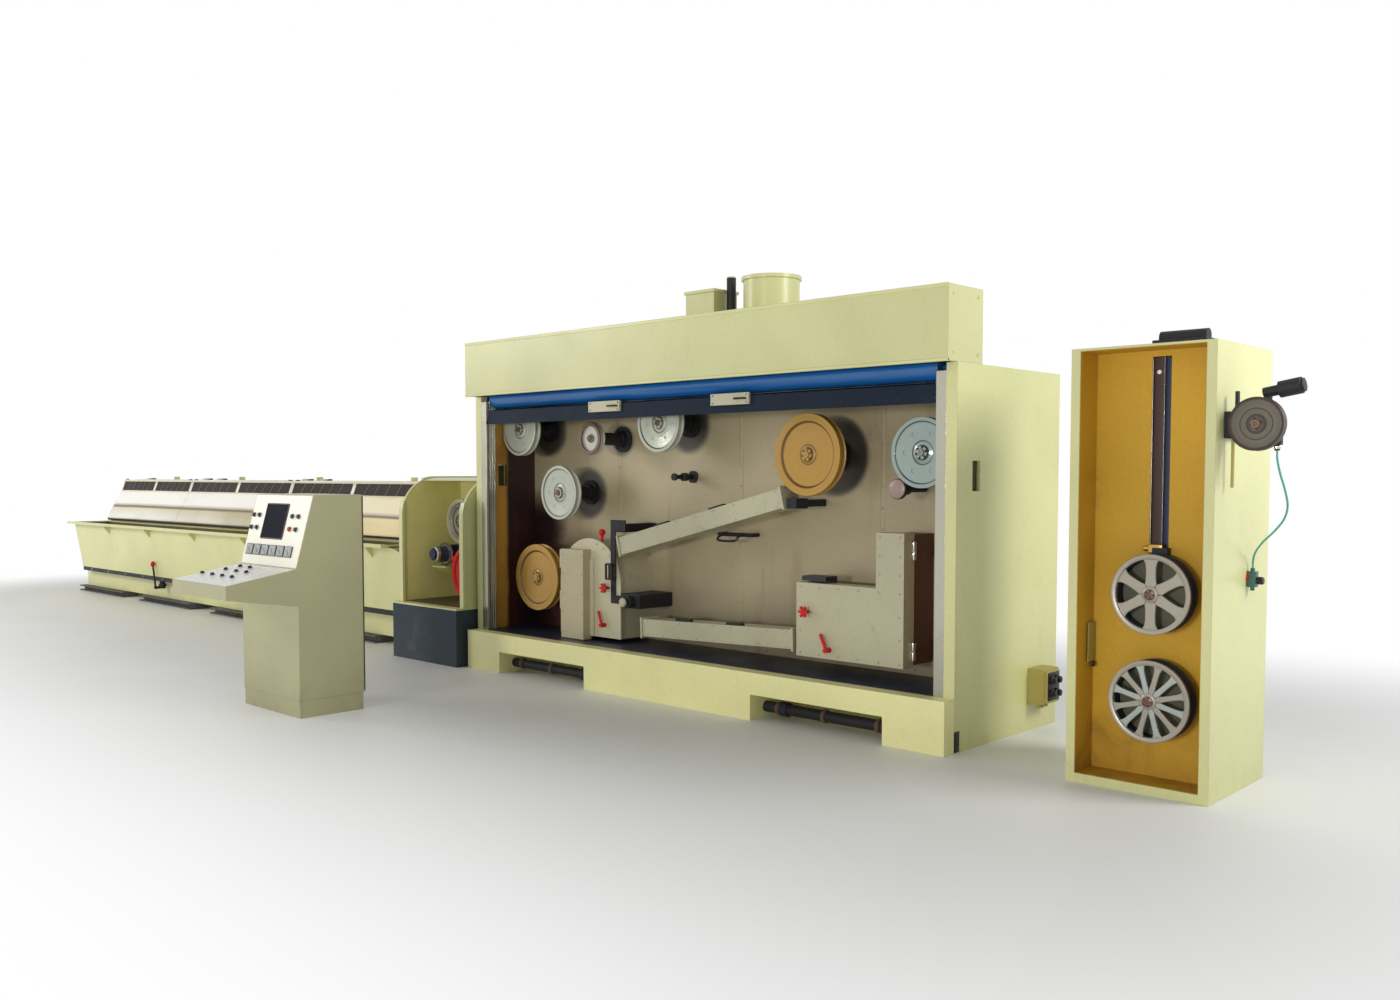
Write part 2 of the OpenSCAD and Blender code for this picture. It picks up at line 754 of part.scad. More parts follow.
module machine_walls() {
    color(cream) union() {
        box([machine_x0, wall_y, bed_top], [machine_x1, wall_y + 20, tub_rim_h + 30]);
        for (x = [machine_x0, machine_x1 - end_t])
            along_x(x, x + end_t) polygon([[wall_y + 19, bed_top], [case_y, bed_top], [case_y, machine_h - 1],
                [840, machine_h - lid_t - 8], [wall_y + 40, tub_rim_h + 40]]);
    }
}

// Floor channels, open to the front and to the rear
module foot_channel(x, l, y0, y1) {
    difference() {
        box([x, y0, 0], [x + l, y1, foot_h]);
        box([x - 1, y0 - 1, 14], [x + l + 1, y0 + 60, foot_h - 14]);
    }
}

module machine_feet() {
    color(dark) for (i = [0:foot_n - 1]) {
        x = machine_x0 - 50 + i * machine_l * 0.2438;
        foot_channel(x, foot_l, bed_y - 90, bed_y + 160);
        translate([0, bed_y + rear_y, 0]) mirror([0, 1, 0]) foot_channel(x, foot_l, bed_y - 30, bed_y + 160);
    }
}

// Front of the tub at a height, along its slope
function tub_front(z) = tub_y1 + (tub_y0 - tub_y1) * (z - tub_low) / (tub_rim_h - tub_low);

// Tub outline from the front, flared at the far end and rounded off beside the stand, inset by a wall
module tub_ends(wall) {
    rim = tub_rim_h - rim_t;
    polygon(concat([[machine_x0 + end_flare + wall, tub_low + wall], [tub_x1 + end_round_x - wall, tub_low + wall]],
        [for (a = [0:9:90]) [tub_x1 + (end_round_x - wall) * cos(a), rim - end_round_z + (end_round_z + 2 - (a < 90 ? wall : 0)) * sin(a)]],
        [[machine_x0 + wall, rim + 2]]));
}

module coolant_tub() {
    x0 = machine_x0;
    x1 = tub_x1;
    rim = tub_rim_h - rim_t;
    color(cream) union() {
        difference() {
            intersection() {
                along_x(x0, machine_x1) polygon([[wall_y, tub_low], [tub_y1, tub_low], [tub_y0, rim + 1], [wall_y, rim + 1]]);
                along_y(tub_y0 - 1, wall_y + 1) tub_ends(0);
            }
            intersection() {
                along_x(x0, machine_x1) polygon([[wall_y - tub_t, tub_low + tub_t], [tub_y1 + tub_t, tub_low + tub_t],
                    [tub_y0 + tub_t, rim + 2], [wall_y - tub_t, rim + 2]]);
                along_y(tub_y0 - 1, wall_y + 1) tub_ends(tub_t);
            }
        }
        difference() {
            box([x0 - rim_w, tub_y0 - rim_w, rim], [x1, wall_y, tub_rim_h]);
            box([x0 + tub_t, tub_y0 + tub_t, rim - 1], [x1 - tub_t, wall_y - tub_t, tub_rim_h + 1]);
        }
        for (i = [0:gusset_n - 1])
            along_x(gusset_x(i), gusset_x(i) + 10) polygon([[tub_y0 - rim_w + 8, rim + 1], [tub_y0 + 20, rim + 1],
                [tub_front(rim - 110) + 4, rim - 110], [tub_y0 - rim_w + 8, rim - 16]]);
    }
}

function gusset_x(i) = machine_x0 + machine_l * (0.1453 + 0.1535 * i);

// Closed gear case with bolted rear covers and lifting ears
module gear_case() {
    n = lid_count * 2;
    pitch = machine_l / n;
    color(cream) union() {
        box([machine_x0, case_y, bed_top], [machine_x1, rear_y, machine_h]);
        for (i = [0:n - 1])
            box([machine_x0 + i * pitch + 60, rear_y - 1, bed_top + 90], [machine_x0 + (i + 1) * pitch - 60, rear_y + 22, machine_h - 120]);
        for (i = [0:n / 2])
            box([machine_x0 + i * 2 * pitch * 0.985 + 30, rear_y - 90, machine_h - 1], [machine_x0 + i * 2 * pitch * 0.985 + 60, rear_y - 20, machine_h + 55]);
    }
}

// Stepped drawing capstans, each with its die box beside it
module capstan_row() {
    pitch = machine_l / capstan_n;
    y = case_y - capstan_reach;
    step = capstan_step;
    color(alloy) for (i = [0:capstan_n - 1]) {
        x = machine_x0 + pitch * (i + 0.5);
        turned_y(x, y, capstan_z) polygon([[0, 0], [capstan_r / 2, 0], [capstan_r / 2 + 10, 12], [capstan_r - 2 * step, 16],
            [capstan_r - 2 * step, 40], [capstan_r - step, 43], [capstan_r - step, 68], [capstan_r, 72], [capstan_r, 102],
            [capstan_r + 12, 108], [capstan_r + 12, 120], [capstan_r / 2, 120], [capstan_r / 2, capstan_reach], [0, capstan_reach]]);
        box([x + die_x, y + 10, capstan_z - 60], [x + die_x + die_w, y + 130, capstan_z + 70]);
        box([x + die_x + 20, y + 129, capstan_z - 30], [x + die_x + die_w - 20, case_y, capstan_z + 30]);
    }
}

// Hood lid outline in y and z
function lid_points() = [[580, tub_rim_h + 45], [665, 1130], [772, 1320], [815, machine_h - 2], [hinge_y - 30, machine_h + 6]];

// Ends of one lid
function lid_low(i) = machine_x0 + lid_ends[i] * machine_l + lid_gap / 2;
function lid_high(i) = machine_x0 + lid_ends[i + 1] * machine_l - lid_gap / 2;

// A lid: lower panels with a crease, a sunk window strip between ribs and a flat top
module hood_lid(i) {
    p = lid_points();
    t = lid_t;
    x0 = lid_low(i);
    x1 = lid_high(i);
    windows = window_bays[i];
    edge = window_rib / 2;
    bay = (x1 - x0) / windows;
    color(alloy) union() {
        difference() {
            along_x(x0, x1) polygon([p[0], p[1], p[2], p[3], p[4], p[4] + [0, t], p[3] + [-t * 0.8, t],
                p[2] + [-t, 4], p[1] + [-t, 4], p[0] + [-t, 4]]);
            for (k = [0:windows - 1])
                along_x(x0 + k * bay + edge, x0 + (k + 1) * bay - edge) polygon([p[2] + [-t - 6, 14], p[2] + [-t + 6, 14],
                    p[3] + [-t + 6, -6], p[3] + [-t - 6, -6]]);
        }
        box([x0, p[0][0] - t, p[0][1] - 22], [x1, p[0][0], p[0][1] + 4]);
        for (x = [x0 + 150, x1 - 250]) difference() {
            union() {
                bar_x(hinge_y, hinge_z, knuckle_r, x, x + 100);
                box([x, p[4][0] - 20, machine_h + 12], [x + 100, hinge_y, hinge_z + knuckle_r - 1]);
            }
            bar_x(hinge_y, hinge_z, pin_r + pin_gap, x - 1, x + 101);
        }
    }
}

module hood_brackets() {
    color(dark) for (i = [0:lid_count - 1]) {
        x0 = lid_low(i);
        x1 = lid_high(i);
        for (x = [x0 + 150, x1 - 250]) {
            bar_x(hinge_y, hinge_z, pin_r, x - 20, x + 120);
            for (s = [-25, 105])
                box([x + s, hinge_y - 16, machine_h], [x + s + 20, hinge_y + 30, hinge_z + 14]);
        }
    }
}

// Dark rail under the tub, with the drain valve and its lever
module tub_rail() {
    x = machine_x0 + drain_x;
    color(dark) union() {
        box([machine_x0 + end_flare, tub_y1 + 4, bed_top - 50], [machine_x1 - end_flare, bed_y, bed_top]);
        bar_z(x, bed_y - 60, 34, bed_top - 140, bed_top - 49);
        bar_z(x, bed_y - 60, 44, bed_top - 110, bed_top - 90);
        translate([x, tub_y1 - 42, bed_top - 130]) rotate([0, -14, 0]) cylinder(r = 11, h = 290);
        box([x - 14, tub_y1 - 56, bed_top - 140], [x + 14, bed_y - 80, bed_top - 110]);
    }
}

// Operator desk
module desk_outline() {
    polygon([[desk_y0, desk_plinth_h], [desk_y1, desk_plinth_h], [desk_y1, desk_h], [face_top_y, desk_h],
        [face_y, shelf_back_z], [face_y - desk_reach, shelf_front_z], [face_y - desk_reach, shelf_front_z - shelf_t],
        [desk_y0, shelf_under_z]]);
}

module desk_body() {
    color([0.62, 0.62, 0.48]) union() {
        along_x(desk_x0, desk_x0 + desk_w) desk_outline();
        box([desk_x0 + 4, desk_y0 + 4, 0], [desk_x0 + desk_w - 4, desk_y1 - 4, desk_plinth_h]);
    }
}

module desk_panels() {
    color([0.2, 0.17, 0.12]) box([desk_x0 + 10, desk_y1, 120], [desk_x0 + desk_w - 10, desk_y1 + 16, desk_h - 10]);
}

// Puts a piece on the keyboard shelf, a distance out from the sloping face
module on_shelf(x, out) {
    drop = shelf_back_z - shelf_front_z;
    translate([x, face_y - out, shelf_back_z - drop * out / desk_reach]) rotate([atan2(drop, desk_reach), 0, 0])
        translate([0, 0, face_gap]) children();
}

// Puts a piece on the steep face, a distance up from its foot
module on_face(x, up) {
    rise = desk_h - shelf_back_z;
    run = face_top_y - face_y;
    l = norm([run, rise]);
    translate([x, face_y + run * up / l, shelf_back_z + rise * up / l]) rotate([atan2(rise, run), 0, 0])
        translate([0, 0, face_gap]) children();
}

// Screen, eight push buttons and six meters on the face, nine knobs on the shelf
module desk_controls() {
    k = desk_w / 760;
    x0 = desk_x0;
    color(dark) {
        for (p = [[56, 285], [214, 290], [360, 292], [499, 294], [134, 164], [311, 177], [449, 176], [150, 74], [297, 79]])
            on_shelf(x0 + k * p[0], p[1]) cylinder(r = 12, h = 18);
        for (x = [40, 116, 563, 643], up = [253, 338])
            on_face(x0 + k * x, up) cylinder(r = 14, h = 18);
        on_face(x0 + k * 341, 301) translate([-150 * k, -121, 0]) cube([300 * k, 242, 6]);
        for (i = [0:5])
            on_face(x0 + k * (89 + 105 * i), 105) translate([-46 * k, -37, 0]) cube([92 * k, 74, 9]);
    }
}

// Accumulator tower
module tower_housing() {
    color(cream) difference() {
        box([tower_x0, 0, 0], [tower_x1, tower_d, tower_h]);
        box([tower_x0 + tower_t, -1, tower_t], [tower_x1 - tower_t, recess_d + liner_t, tower_h - 12]);
        box([tower_x0 + tower_t, recess_d + liner_t + 10, tower_t], [tower_x1 - tower_t, tower_d - 20, tower_h - 12]);
        box([rail_x - rail_slot_w / 2, 0, rail_low], [rail_x + rail_slot_w / 2, tower_d - 100, rail_top]);
    }
}

module tower_liner() {
    x0 = tower_x0 + tower_t;
    x1 = tower_x1 - tower_t;
    color(ochre) difference() {
        box([x0, 2, tower_t], [x1, recess_d + liner_t, tower_h - 12]);
        box([x0 + 3, -1, tower_t + 3], [x1 - 3, recess_d, tower_h - 15]);
        box([rail_x - rail_slot_w / 2, 0, rail_low], [rail_x + rail_slot_w / 2, tower_d, rail_top]);
    }
}

module tower_guide() {
    back = wheel_y + wheel_t;
    color(dark) {
        union() {
            bar_z(rail_x, rod_y, rod_r, rail_low - 60, rail_top + 20);
            for (z = [rail_low - 60, rail_top])
                box([rail_x - 60, recess_d + liner_t + 10, z], [rail_x + 60, rod_y + 40, z + 22]);
        }
        union() {
            box([tower_x0 + 330, 180, tower_h], [tower_x0 + 590, 330, tower_h + 34]);
            bar_x(255, tower_h + 48, 34, tower_x0 + 345, tower_x0 + 575);
        }
        difference() {
            bar_y(tower_axis_x, lower_z, bearing_r, back + run_gap, recess_d);
            bar_y(tower_axis_x, lower_z, shaft_r + pin_gap, back, back + run_gap + 45);
        }
    }
}

// Block in front of the slot that carries the wheel, and its slide on the rod behind
module dancer_carriage() {
    color(dark) difference() {
        union() {
            box([tower_axis_x - 36, wheel_y + wheel_t + run_gap, dancer_z - 60], [tower_axis_x + 36, recess_d - run_gap, dancer_z + 220]);
            box([rail_x - 34, recess_d - run_gap - 1, dancer_z - 60], [rail_x + 34, rod_y + 35, dancer_z + 220]);
        }
        bar_z(rail_x, rod_y, rod_r + pin_gap, 0, tower_h);
        bar_y(tower_axis_x, dancer_z, shaft_r + pin_gap, 0, wheel_y + wheel_t + run_gap + 45);
    }
}

// Spoked wheel with a grooved rim and a closed back
module spoked_wheel(z, r, count, spoke_w) {
    x = tower_axis_x;
    color(alloy) union() {
        turned_y(x, wheel_y, z) polygon([[r - 26, 0], [r, 0], [r, 18], [r - 14, 34], [r - 14, wheel_t - 34],
            [r, wheel_t - 18], [r, wheel_t], [r - 26, wheel_t]]);
        turned_y(x, wheel_y, z) polygon([[0, 0], [38, 0], [38, wheel_t - 12], [r - 25, wheel_t - 12], [r - 25, wheel_t - 4],
            [38, wheel_t - 4], [38, wheel_t], [0, wheel_t]]);
        translate([x, wheel_y + 26, z]) rotate([90, 0, 0]) linear_extrude(18) intersection() {
            circle(r = r - 20);
            for (i = [0:count - 1])
                rotate((i + 0.5) * 360 / count) translate([0, -spoke_w / 2]) square([r, spoke_w]);
        }
        bar_y(x, z, shaft_r, wheel_y + wheel_t - 1, wheel_y + wheel_t + run_gap + 45 - pin_gap);
    }
}

module dancer_wheel() {
    spoked_wheel(dancer_z, dancer_r, 6, 44);
}

module lower_wheel() {
    spoked_wheel(lower_z, lower_r, 12, 26);
}

// Wall plate, arm, upright, wiper cylinder and hose fitting
module side_bracket() {
    y0 = side_y + side_t + run_gap;
    y1 = y0 + 30;
    color(dark) difference() {
        union() {
            box([tower_x1, y0 - 20, side_z - 62], [tower_x1 + 24, y1 + 90, side_z + 62]);
            box([tower_x1 + 23, y0, side_z - 40], [side_x + 40, y1, side_z + 40]);
            box([tower_x1 + 40, y0, side_z + 39], [tower_x1 + 54, y1 - 8, side_z + 155]);
            box([tower_x1 + 28, y0, side_z - 290], [tower_x1 + 38, y0 + 12, side_z - 39]);
            box([side_x + 24, y0, side_z + 39], [side_x + 46, y1, side_z + 130]);
            box([side_x + 39, y0, side_z - 20], [side_x + 96, y1, side_z + 10]);
            box([side_x + 60, y0, side_z - 96], [side_x + 96, y1, side_z - 19]);
            bar_z(side_x + 76, y0 + 15, 12, side_z - hose_drop, side_z - 95);
            translate([side_x + 14, y0 + 15, side_z + 142]) rotate([0, 80, 0]) {
                cylinder(r = 24, h = 70);
                translate([0, 0, 69]) cylinder(r = 38, h = 96);
                translate([0, 0, 164]) cylinder(r = 31, h = 12);
            }
        }
        bar_y(side_x, side_z, 12 + pin_gap, 0, 300);
    }
}

module side_pulley() {
    color(alloy) union() {
        turned_y(side_x, side_y, side_z) polygon([[0, 0], [30, 0], [30, 8], [side_r - 14, 8], [side_r - 10, 0],
            [side_r, 0], [side_r, 8], [side_r - 10, 20], [side_r, 32], [side_r, side_t], [0, side_t]]);
        bar_y(side_x, side_z, 12, side_y + side_t - 1, side_y + side_t + run_gap + 30);
    }
}

module air_valve() {
    z = valve_z;
    color(teal) union() {
        box([tower_x1, valve_y - 20, z - 40], [tower_x1 + 42, valve_y + 20, z + 36]);
        bar_x(valve_y, z + 8, 26, tower_x1, tower_x1 + 9);
        bar_x(valve_y, z - 8, 15, tower_x1 + 41, tower_x1 + 70);
        bar_z(tower_x1 + 22, valve_y, 10, z + 35, z + 52);
        bar_z(tower_x1 + 22, valve_y, 10, z - 58, z - 39);
    }
}

// Air hose between the wiper and the valve, swept along its own points
hose_route = [[side_x + 76, 135, side_z - hose_drop], [side_x + 78, 137, side_z - 165], [side_x + 88, 150, side_z - 230],
    [side_x + 98, 185, side_z - 300], [side_x + 96, 235, side_z - 375], [side_x + 64, 290, side_z - 440],
    [side_x + 6, 340, side_z - 500], [side_x - 60, 390, side_z - 555], [side_x - 108, 434, side_z - 610],
    [side_x - 125, 457, side_z - 655], [tower_x1 + 22, valve_y, valve_z + 62], [tower_x1 + 22, valve_y, valve_z + 52]];
hose_steps = 4;

function blend(a, b, c, d, t) = 0.5 * (2 * b + (c - a) * t + (2 * a - 5 * b + 4 * c - d) * t * t
    + (3 * b - a - 3 * c + d) * t * t * t);

function route_point(p, i, t) = blend(p[max(i - 1, 0)], p[i], p[i + 1], p[min(i + 2, len(p) - 1)], t);

function smooth_route(p, n) = concat([for (i = [0:len(p) - 2]) for (k = [0:n - 1]) route_point(p, i, k / n)], [p[len(p) - 1]]);

function unit(v) = v / norm(v);

// One ring of the hose, square to its route
function hose_ring(p, i, r, sides) =
    let (last = len(p) - 1,
        t = i == 0 || i == last ? [0, 0, -1] : unit(p[i + 1] - p[i - 1]), u = unit(cross(t, [0, 1, 0])), v = cross(t, u))
    [for (k = [0:sides - 1]) p[i] + r * (cos(k * 360 / sides) * u + sin(k * 360 / sides) * v)];

module air_hose() {
    p = smooth_route(hose_route, hose_steps);
    n = len(p);
    m = 8;
    color(teal) polyhedron(
        points = [for (i = [0:n - 1]) each hose_ring(p, i, hose_r, m)],
        faces = concat([[for (k = [0:m - 1]) k]], [[for (k = [m - 1:-1:0]) (n - 1) * m + k]],
            [for (i = [0:n - 2]) for (k = [0:m - 1]) [i * m + k, (i + 1) * m + k, (i + 1) * m + (k + 1) % m, i * m + (k + 1) % m]]));
}

// The annealer's base centre is the origin of every node
module place() {
    translate([-annealer_w / 2, -annealer_d / 2, 0]) children();
}

place() annealer_plinth();
place() annealer_side_walls();
place() annealer_rear_wall();
place() annealer_roof();
place() annealer_header();
place() shutter_guides();
place() shutter_roll();
place() shutter_curtain();
place() shutter_handles();
place() chamber_liners();
place() chamber_back_plate();
place() chamber_tray();
place() chamber_fittings();
place() pulley_bearings();
place() steam_tubes();
place() arch_contact_box();
place() contact_motor();
place() water_seal_box();
place() water_seal_lid();
place() valve_handles();
place() exhaust_stack();
place() junction_box();
place() drain_pipes();
place() contact_pulley(contact_upper);  // contact_pulley_upper
place() contact_pulley(contact_lower);  // contact_pulley_lower
place() guide_pulley(guide_entry);  // guide_pulley_entry
place() guide_pulley(guide_middle);  // guide_pulley_middle
place() guide_pulley(guide_left);  // guide_pulley_left
place() guide_pulley(guide_exit);  // guide_pulley_exit
place() small_pulley(small_at);  // guide_pulley_small
place() stand_base_block();
place() stand_housing();
place() stand_drive();
place() stand_drum();
place() draw_capstan();
place() machine_bed();
place() machine_walls();
place() machine_feet();
place() coolant_tub();
place() gear_case();
place() capstan_row();
place() hood_lid(0);  // hood_lid_1
place() hood_lid(1);  // hood_lid_2
place() hood_lid(2);  // hood_lid_3
place() hood_lid(3);  // hood_lid_4
place() hood_brackets();
place() tub_rail();
place() desk_body();
place() desk_panels();
place() desk_controls();
place() tower_housing();
place() tower_liner();
place() tower_guide();
place() dancer_carriage();
place() dancer_wheel();
place() lower_wheel();
place() side_bracket();
place() side_pulley();
place() air_valve();
place() air_hose();
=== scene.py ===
"""Rod breakdown wire drawing line, dressed for its portrait.

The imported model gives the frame. Places are in metres, x along the line, y to the rear and z up,
and most are measured from the annealer cabinet's left front foot.
"""
import logging
import math
from dataclasses import dataclass, replace
from enum import Enum
from typing import Iterable, Sequence

import bpy
import numpy as np
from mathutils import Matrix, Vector


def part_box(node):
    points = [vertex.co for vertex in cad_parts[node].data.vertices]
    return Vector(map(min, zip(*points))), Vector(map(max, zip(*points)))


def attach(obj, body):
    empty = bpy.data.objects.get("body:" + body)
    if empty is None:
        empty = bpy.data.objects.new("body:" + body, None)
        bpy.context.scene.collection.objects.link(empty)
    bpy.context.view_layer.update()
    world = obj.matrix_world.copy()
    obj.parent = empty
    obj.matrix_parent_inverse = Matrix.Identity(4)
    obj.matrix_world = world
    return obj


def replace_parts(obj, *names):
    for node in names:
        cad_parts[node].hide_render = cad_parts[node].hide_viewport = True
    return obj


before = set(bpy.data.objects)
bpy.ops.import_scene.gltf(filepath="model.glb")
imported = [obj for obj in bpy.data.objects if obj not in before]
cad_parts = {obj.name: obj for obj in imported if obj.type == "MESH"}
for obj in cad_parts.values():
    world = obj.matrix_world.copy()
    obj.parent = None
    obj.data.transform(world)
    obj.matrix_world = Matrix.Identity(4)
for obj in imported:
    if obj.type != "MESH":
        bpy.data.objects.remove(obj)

log = logging.getLogger("line")
Colour = tuple[float, float, float]
Point = tuple[float, float, float]
Array = np.ndarray

# The side that bolt heads stand on along their axis, and how many sides the heads have.
LOW_SIDE, HIGH_SIDE = -1, 1
HEX_HEAD, ROUND_HEAD = 6, 12


def paint(red: int, green: int, blue: int) -> Colour:
    """A colour in scene values.

    Args:
        red: its red on a screen, from 0 to 255.
        green: its green.
        blue: its blue.

    Returns:
        The three linear values.
    """

    def linear(value: int) -> float:
        """The usual screen curve, undone."""
        c = value / 255
        return c / 12.92 if c <= 0.04045 else ((c + 0.055) / 1.055) ** 2.4
    return linear(red), linear(green), linear(blue)


# Shapes


class Axis(Enum):
    """Which way a turned or drawn shape points."""
    X = 0
    Y = 1
    Z = 2


def grid(rows: int, cols: int, close_rows: bool = False) -> Array:
    """Quads between neighbouring points of a grid of closed rows, stored row by row.

    Args:
        rows: number of rows of points.
        cols: number of points in a row.
        close_rows: joins the last row to the first.

    Returns:
        One row of four point numbers for each quad.
    """
    r = np.arange(rows if close_rows else rows - 1)
    c = np.arange(cols)
    rr, cc = [a.ravel() for a in np.meshgrid(r, c, indexing="ij")]
    r2, c2 = (rr + 1) % rows, (cc + 1) % cols
    return np.stack([rr * cols + cc, rr * cols + c2, r2 * cols + c2, r2 * cols + cc], axis=1)


def arc(centre: Sequence[float], radius: float, start: float, end: float, steps: int = 8) -> Array:
    """Points of a circle's arc, centre + radius (cos a, sin a), with a in degrees."""
    a = np.radians(np.linspace(start, end, steps + 1))
    return np.stack([centre[0] + radius * np.cos(a), centre[1] + radius * np.sin(a)], axis=1)


def round_rect(width: float, height: float, radius: float, steps: int = 4) -> Array:
    """Outline of a rectangle with round corners about the origin, anticlockwise.

    Args:
        width: its size along the first direction.
        height: its size along the second.
        radius: of its corners, held under half of either.
        steps: stretches in each corner.

    Returns:
        Its points.
    """
    r = min(radius, width / 2.01, height / 2.01)
    w, h = width / 2 - r, height / 2 - r
    corners = [(w, h, 0), (-w, h, 90), (-w, -h, 180), (w, -h, 270)]
    return np.concatenate([arc((x, y), r, a, a + 90, steps) for x, y, a in corners])


def inset(outline: Array, distance: float) -> Array:
    """Moves a closed anticlockwise outline inwards: each point goes along its mitre.

    Args:
        outline: its points.
        distance: how far its sides move.

    Returns:
        The moved points.
    """
    before = outline - np.roll(outline, 1, axis=0)
    after = np.roll(outline, -1, axis=0) - outline
    n1 = np.stack([-before[:, 1], before[:, 0]], axis=1)
    n2 = np.stack([-after[:, 1], after[:, 0]], axis=1)
    n1 /= np.linalg.norm(n1, axis=1, keepdims=True) + 1e-12
    n2 /= np.linalg.norm(n2, axis=1, keepdims=True) + 1e-12
    mitre = n1 + n2
    mitre /= np.maximum((mitre * mitre).sum(axis=1, keepdims=True) / 2, 0.3)
    return outline + mitre * distance


def set_along(flat: Array, height: Array | float, axis: Axis) -> Array:
    """Lays plane points (u, v) square to an axis at a height along it.

    X takes (u, v) as (y, z), Y takes it as (x, z) and Z takes it as (x, y).

    Args:
        flat: the (u, v) points.
        height: one height, or one for each point.
        axis: the axis that they lie square to.

    Returns:
        The (x, y, z) points.
    """
    h = np.broadcast_to(height, flat.shape[:-1])
    u, v = flat[..., 0], flat[..., 1]
    order = {Axis.X: (h, u, v), Axis.Y: (u, h, v), Axis.Z: (u, v, h)}[axis]
    return np.stack(order, axis=-1)


class Shape:
    """Closed surfaces gathered into one mesh."""

    def __init__(self) -> None:
        """Starts with nothing in it."""
        self.points: list[Array] = []
        self.faces: list[list[int]] = []
        self.count = 0

    def add(self, points: Array, quads: Array, caps: Iterable[Sequence[int]] = ()) -> "Shape":
        """Takes a closed surface in, turned right side out by the sign of its volume.

        The volume is a sixth of the sum over triangles of a . (b x c), about the middle.

        Args:
            points: the surface's points, in any grid.
            quads: rows of four point numbers.
            caps: rings of point numbers that close its ends.

        Returns:
            The shape itself.
        """
        p = points.reshape(-1, 3)
        q = np.asarray(quads)
        faces = [list(map(int, f)) for f in quads] + [list(map(int, c)) for c in caps]
        fans = [q[:, [0, 1, 2]], q[:, [0, 2, 3]]]
        for c in map(np.asarray, caps):
            fans.append(np.stack([np.full(len(c) - 2, c[0]), c[1:-1], c[2:]], axis=1))
        t = np.concatenate(fans)
        mid = p - p.mean(axis=0)
        volume = np.einsum("ij,ij->", mid[t[:, 0]], np.cross(mid[t[:, 1]], mid[t[:, 2]]))
        if volume < 0:
            faces = [f[::-1] for f in faces]
        self.faces += [[i + self.count for i in f] for f in faces]
        self.points.append(p)
        self.count += len(p)
        return self

    def copies(self, places: Array) -> "Shape":
        """Repeats all that is in it at each place, by adding each place to every point.

        Args:
            places: rows of x, y and z.

        Returns:
            The shape itself.
        """
        p = np.concatenate(self.points)
        places = np.asarray(places, dtype=float).reshape(-1, 3)
        n, faces = len(p), self.faces
        self.points = [(p[None, :, :] + places[:, None, :]).reshape(-1, 3)]
        self.faces = [[i + k * n for i in f] for k in range(len(places)) for f in faces]
        self.count = n * len(places)
        return self

    def join(self, other: "Shape") -> "Shape":
        """Takes in another shape's surfaces.

        Args:
            other: the shape that gives them.

        Returns:
            The shape itself.
        """
        self.faces += [[i + self.count for i in f] for f in other.faces]
        self.points += other.points
        self.count += other.count
        return self

    def turned_by(self, degrees: float, axis: Axis, about: Point) -> "Shape":
        """Turns all that is in it about an axis through a point.

        Args:
            degrees: the angle, anticlockwise seen against the axis.
            axis: the axis's direction.
            about: a point on it.

        Returns:
            The shape itself.
        """
        a = math.radians(degrees)
        i, j = {Axis.X: (1, 2), Axis.Y: (2, 0), Axis.Z: (0, 1)}[axis]
        p = np.concatenate(self.points) - np.array(about)
        u, v = p[:, i].copy(), p[:, j].copy()
        p[:, i], p[:, j] = u * math.cos(a) - v * math.sin(a), u * math.sin(a) + v * math.cos(a)
        self.points = [p + np.array(about)]
        return self

    def piece(self, name: str, finish: "Finish", body: str = "line_frame",
              sharp: float = 35.0) -> bpy.types.Object:
        """Makes the mesh object, gives it its finish and lets it ride on a body.

        Args:
            name: the piece's name.
            finish: what its surface is.
            body: the body it moves with.
            sharp: edges that fold more than this many degrees stay sharp.

        Returns:
            The new object.
        """
        mesh = bpy.data.meshes.new(name)
        mesh.from_pydata(np.concatenate(self.points).tolist(), [], self.faces)
        mesh.polygons.foreach_set("use_smooth", np.ones(len(mesh.polygons), dtype=bool))
        mesh.update()
        mesh.set_sharp_from_angle(angle=math.radians(sharp))
        mesh.materials.append(finish.material())
        thing = bpy.data.objects.new(name, mesh)
        bpy.context.scene.collection.objects.link(thing)
        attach(thing, body)
        log.info("%s: %d faces", name, len(self.faces))
        return thing


def turned(profile: Sequence[Sequence[float]], centre: Point, axis: Axis, steps: int = 48,
           ring: bool = False) -> Shape:
    """A surface of revolution, centre + (r cos a, r sin a) across and h along the axis.

    Args:
        profile: (radius, height) points, from one end to the other, radii above 0.
        centre: where height 0 is on the axis.
        axis: the axis it turns about.
        steps: points round the circle.
        ring: joins the profile's last point to its first, as for a hoop.

    Returns:
        The closed surface.
    """
    pr = np.asarray(profile, dtype=float)
    a = np.linspace(0, 2 * np.pi, steps, endpoint=False)
    flat = pr[:, None, 0, None] * np.stack([np.cos(a), np.sin(a)], axis=-1)[None]
    points = set_along(flat, pr[:, 1, None], axis) + np.array(centre)
    last = (len(pr) - 1) * steps
    caps = [] if ring else [list(range(steps))[::-1], [last + k for k in range(steps)]]
    return Shape().add(points, grid(len(pr), steps, close_rows=ring), caps)


def collar(inner: float, outer: float, length: float, edge: float, centre: Point, axis: Axis,
           steps: int = 48, ring: bool = True) -> Shape:
    """A sleeve turned about an axis, of radius outer, that slopes to inner over both edges.

    Args:
        inner: radius at its two ends.
        outer: radius between them.
        length: from end to end.
        edge: length of each slope.
        centre: the middle of its first end.
        axis: the axis it turns about.
        steps: points round the circle.
        ring: leaves it open inside, as a hoop.

    Returns:
        The closed surface.
    """
    profile = [(inner, 0.0), (outer, edge), (outer, length - edge), (inner, length)]
    return turned(profile, centre, axis, steps, ring)


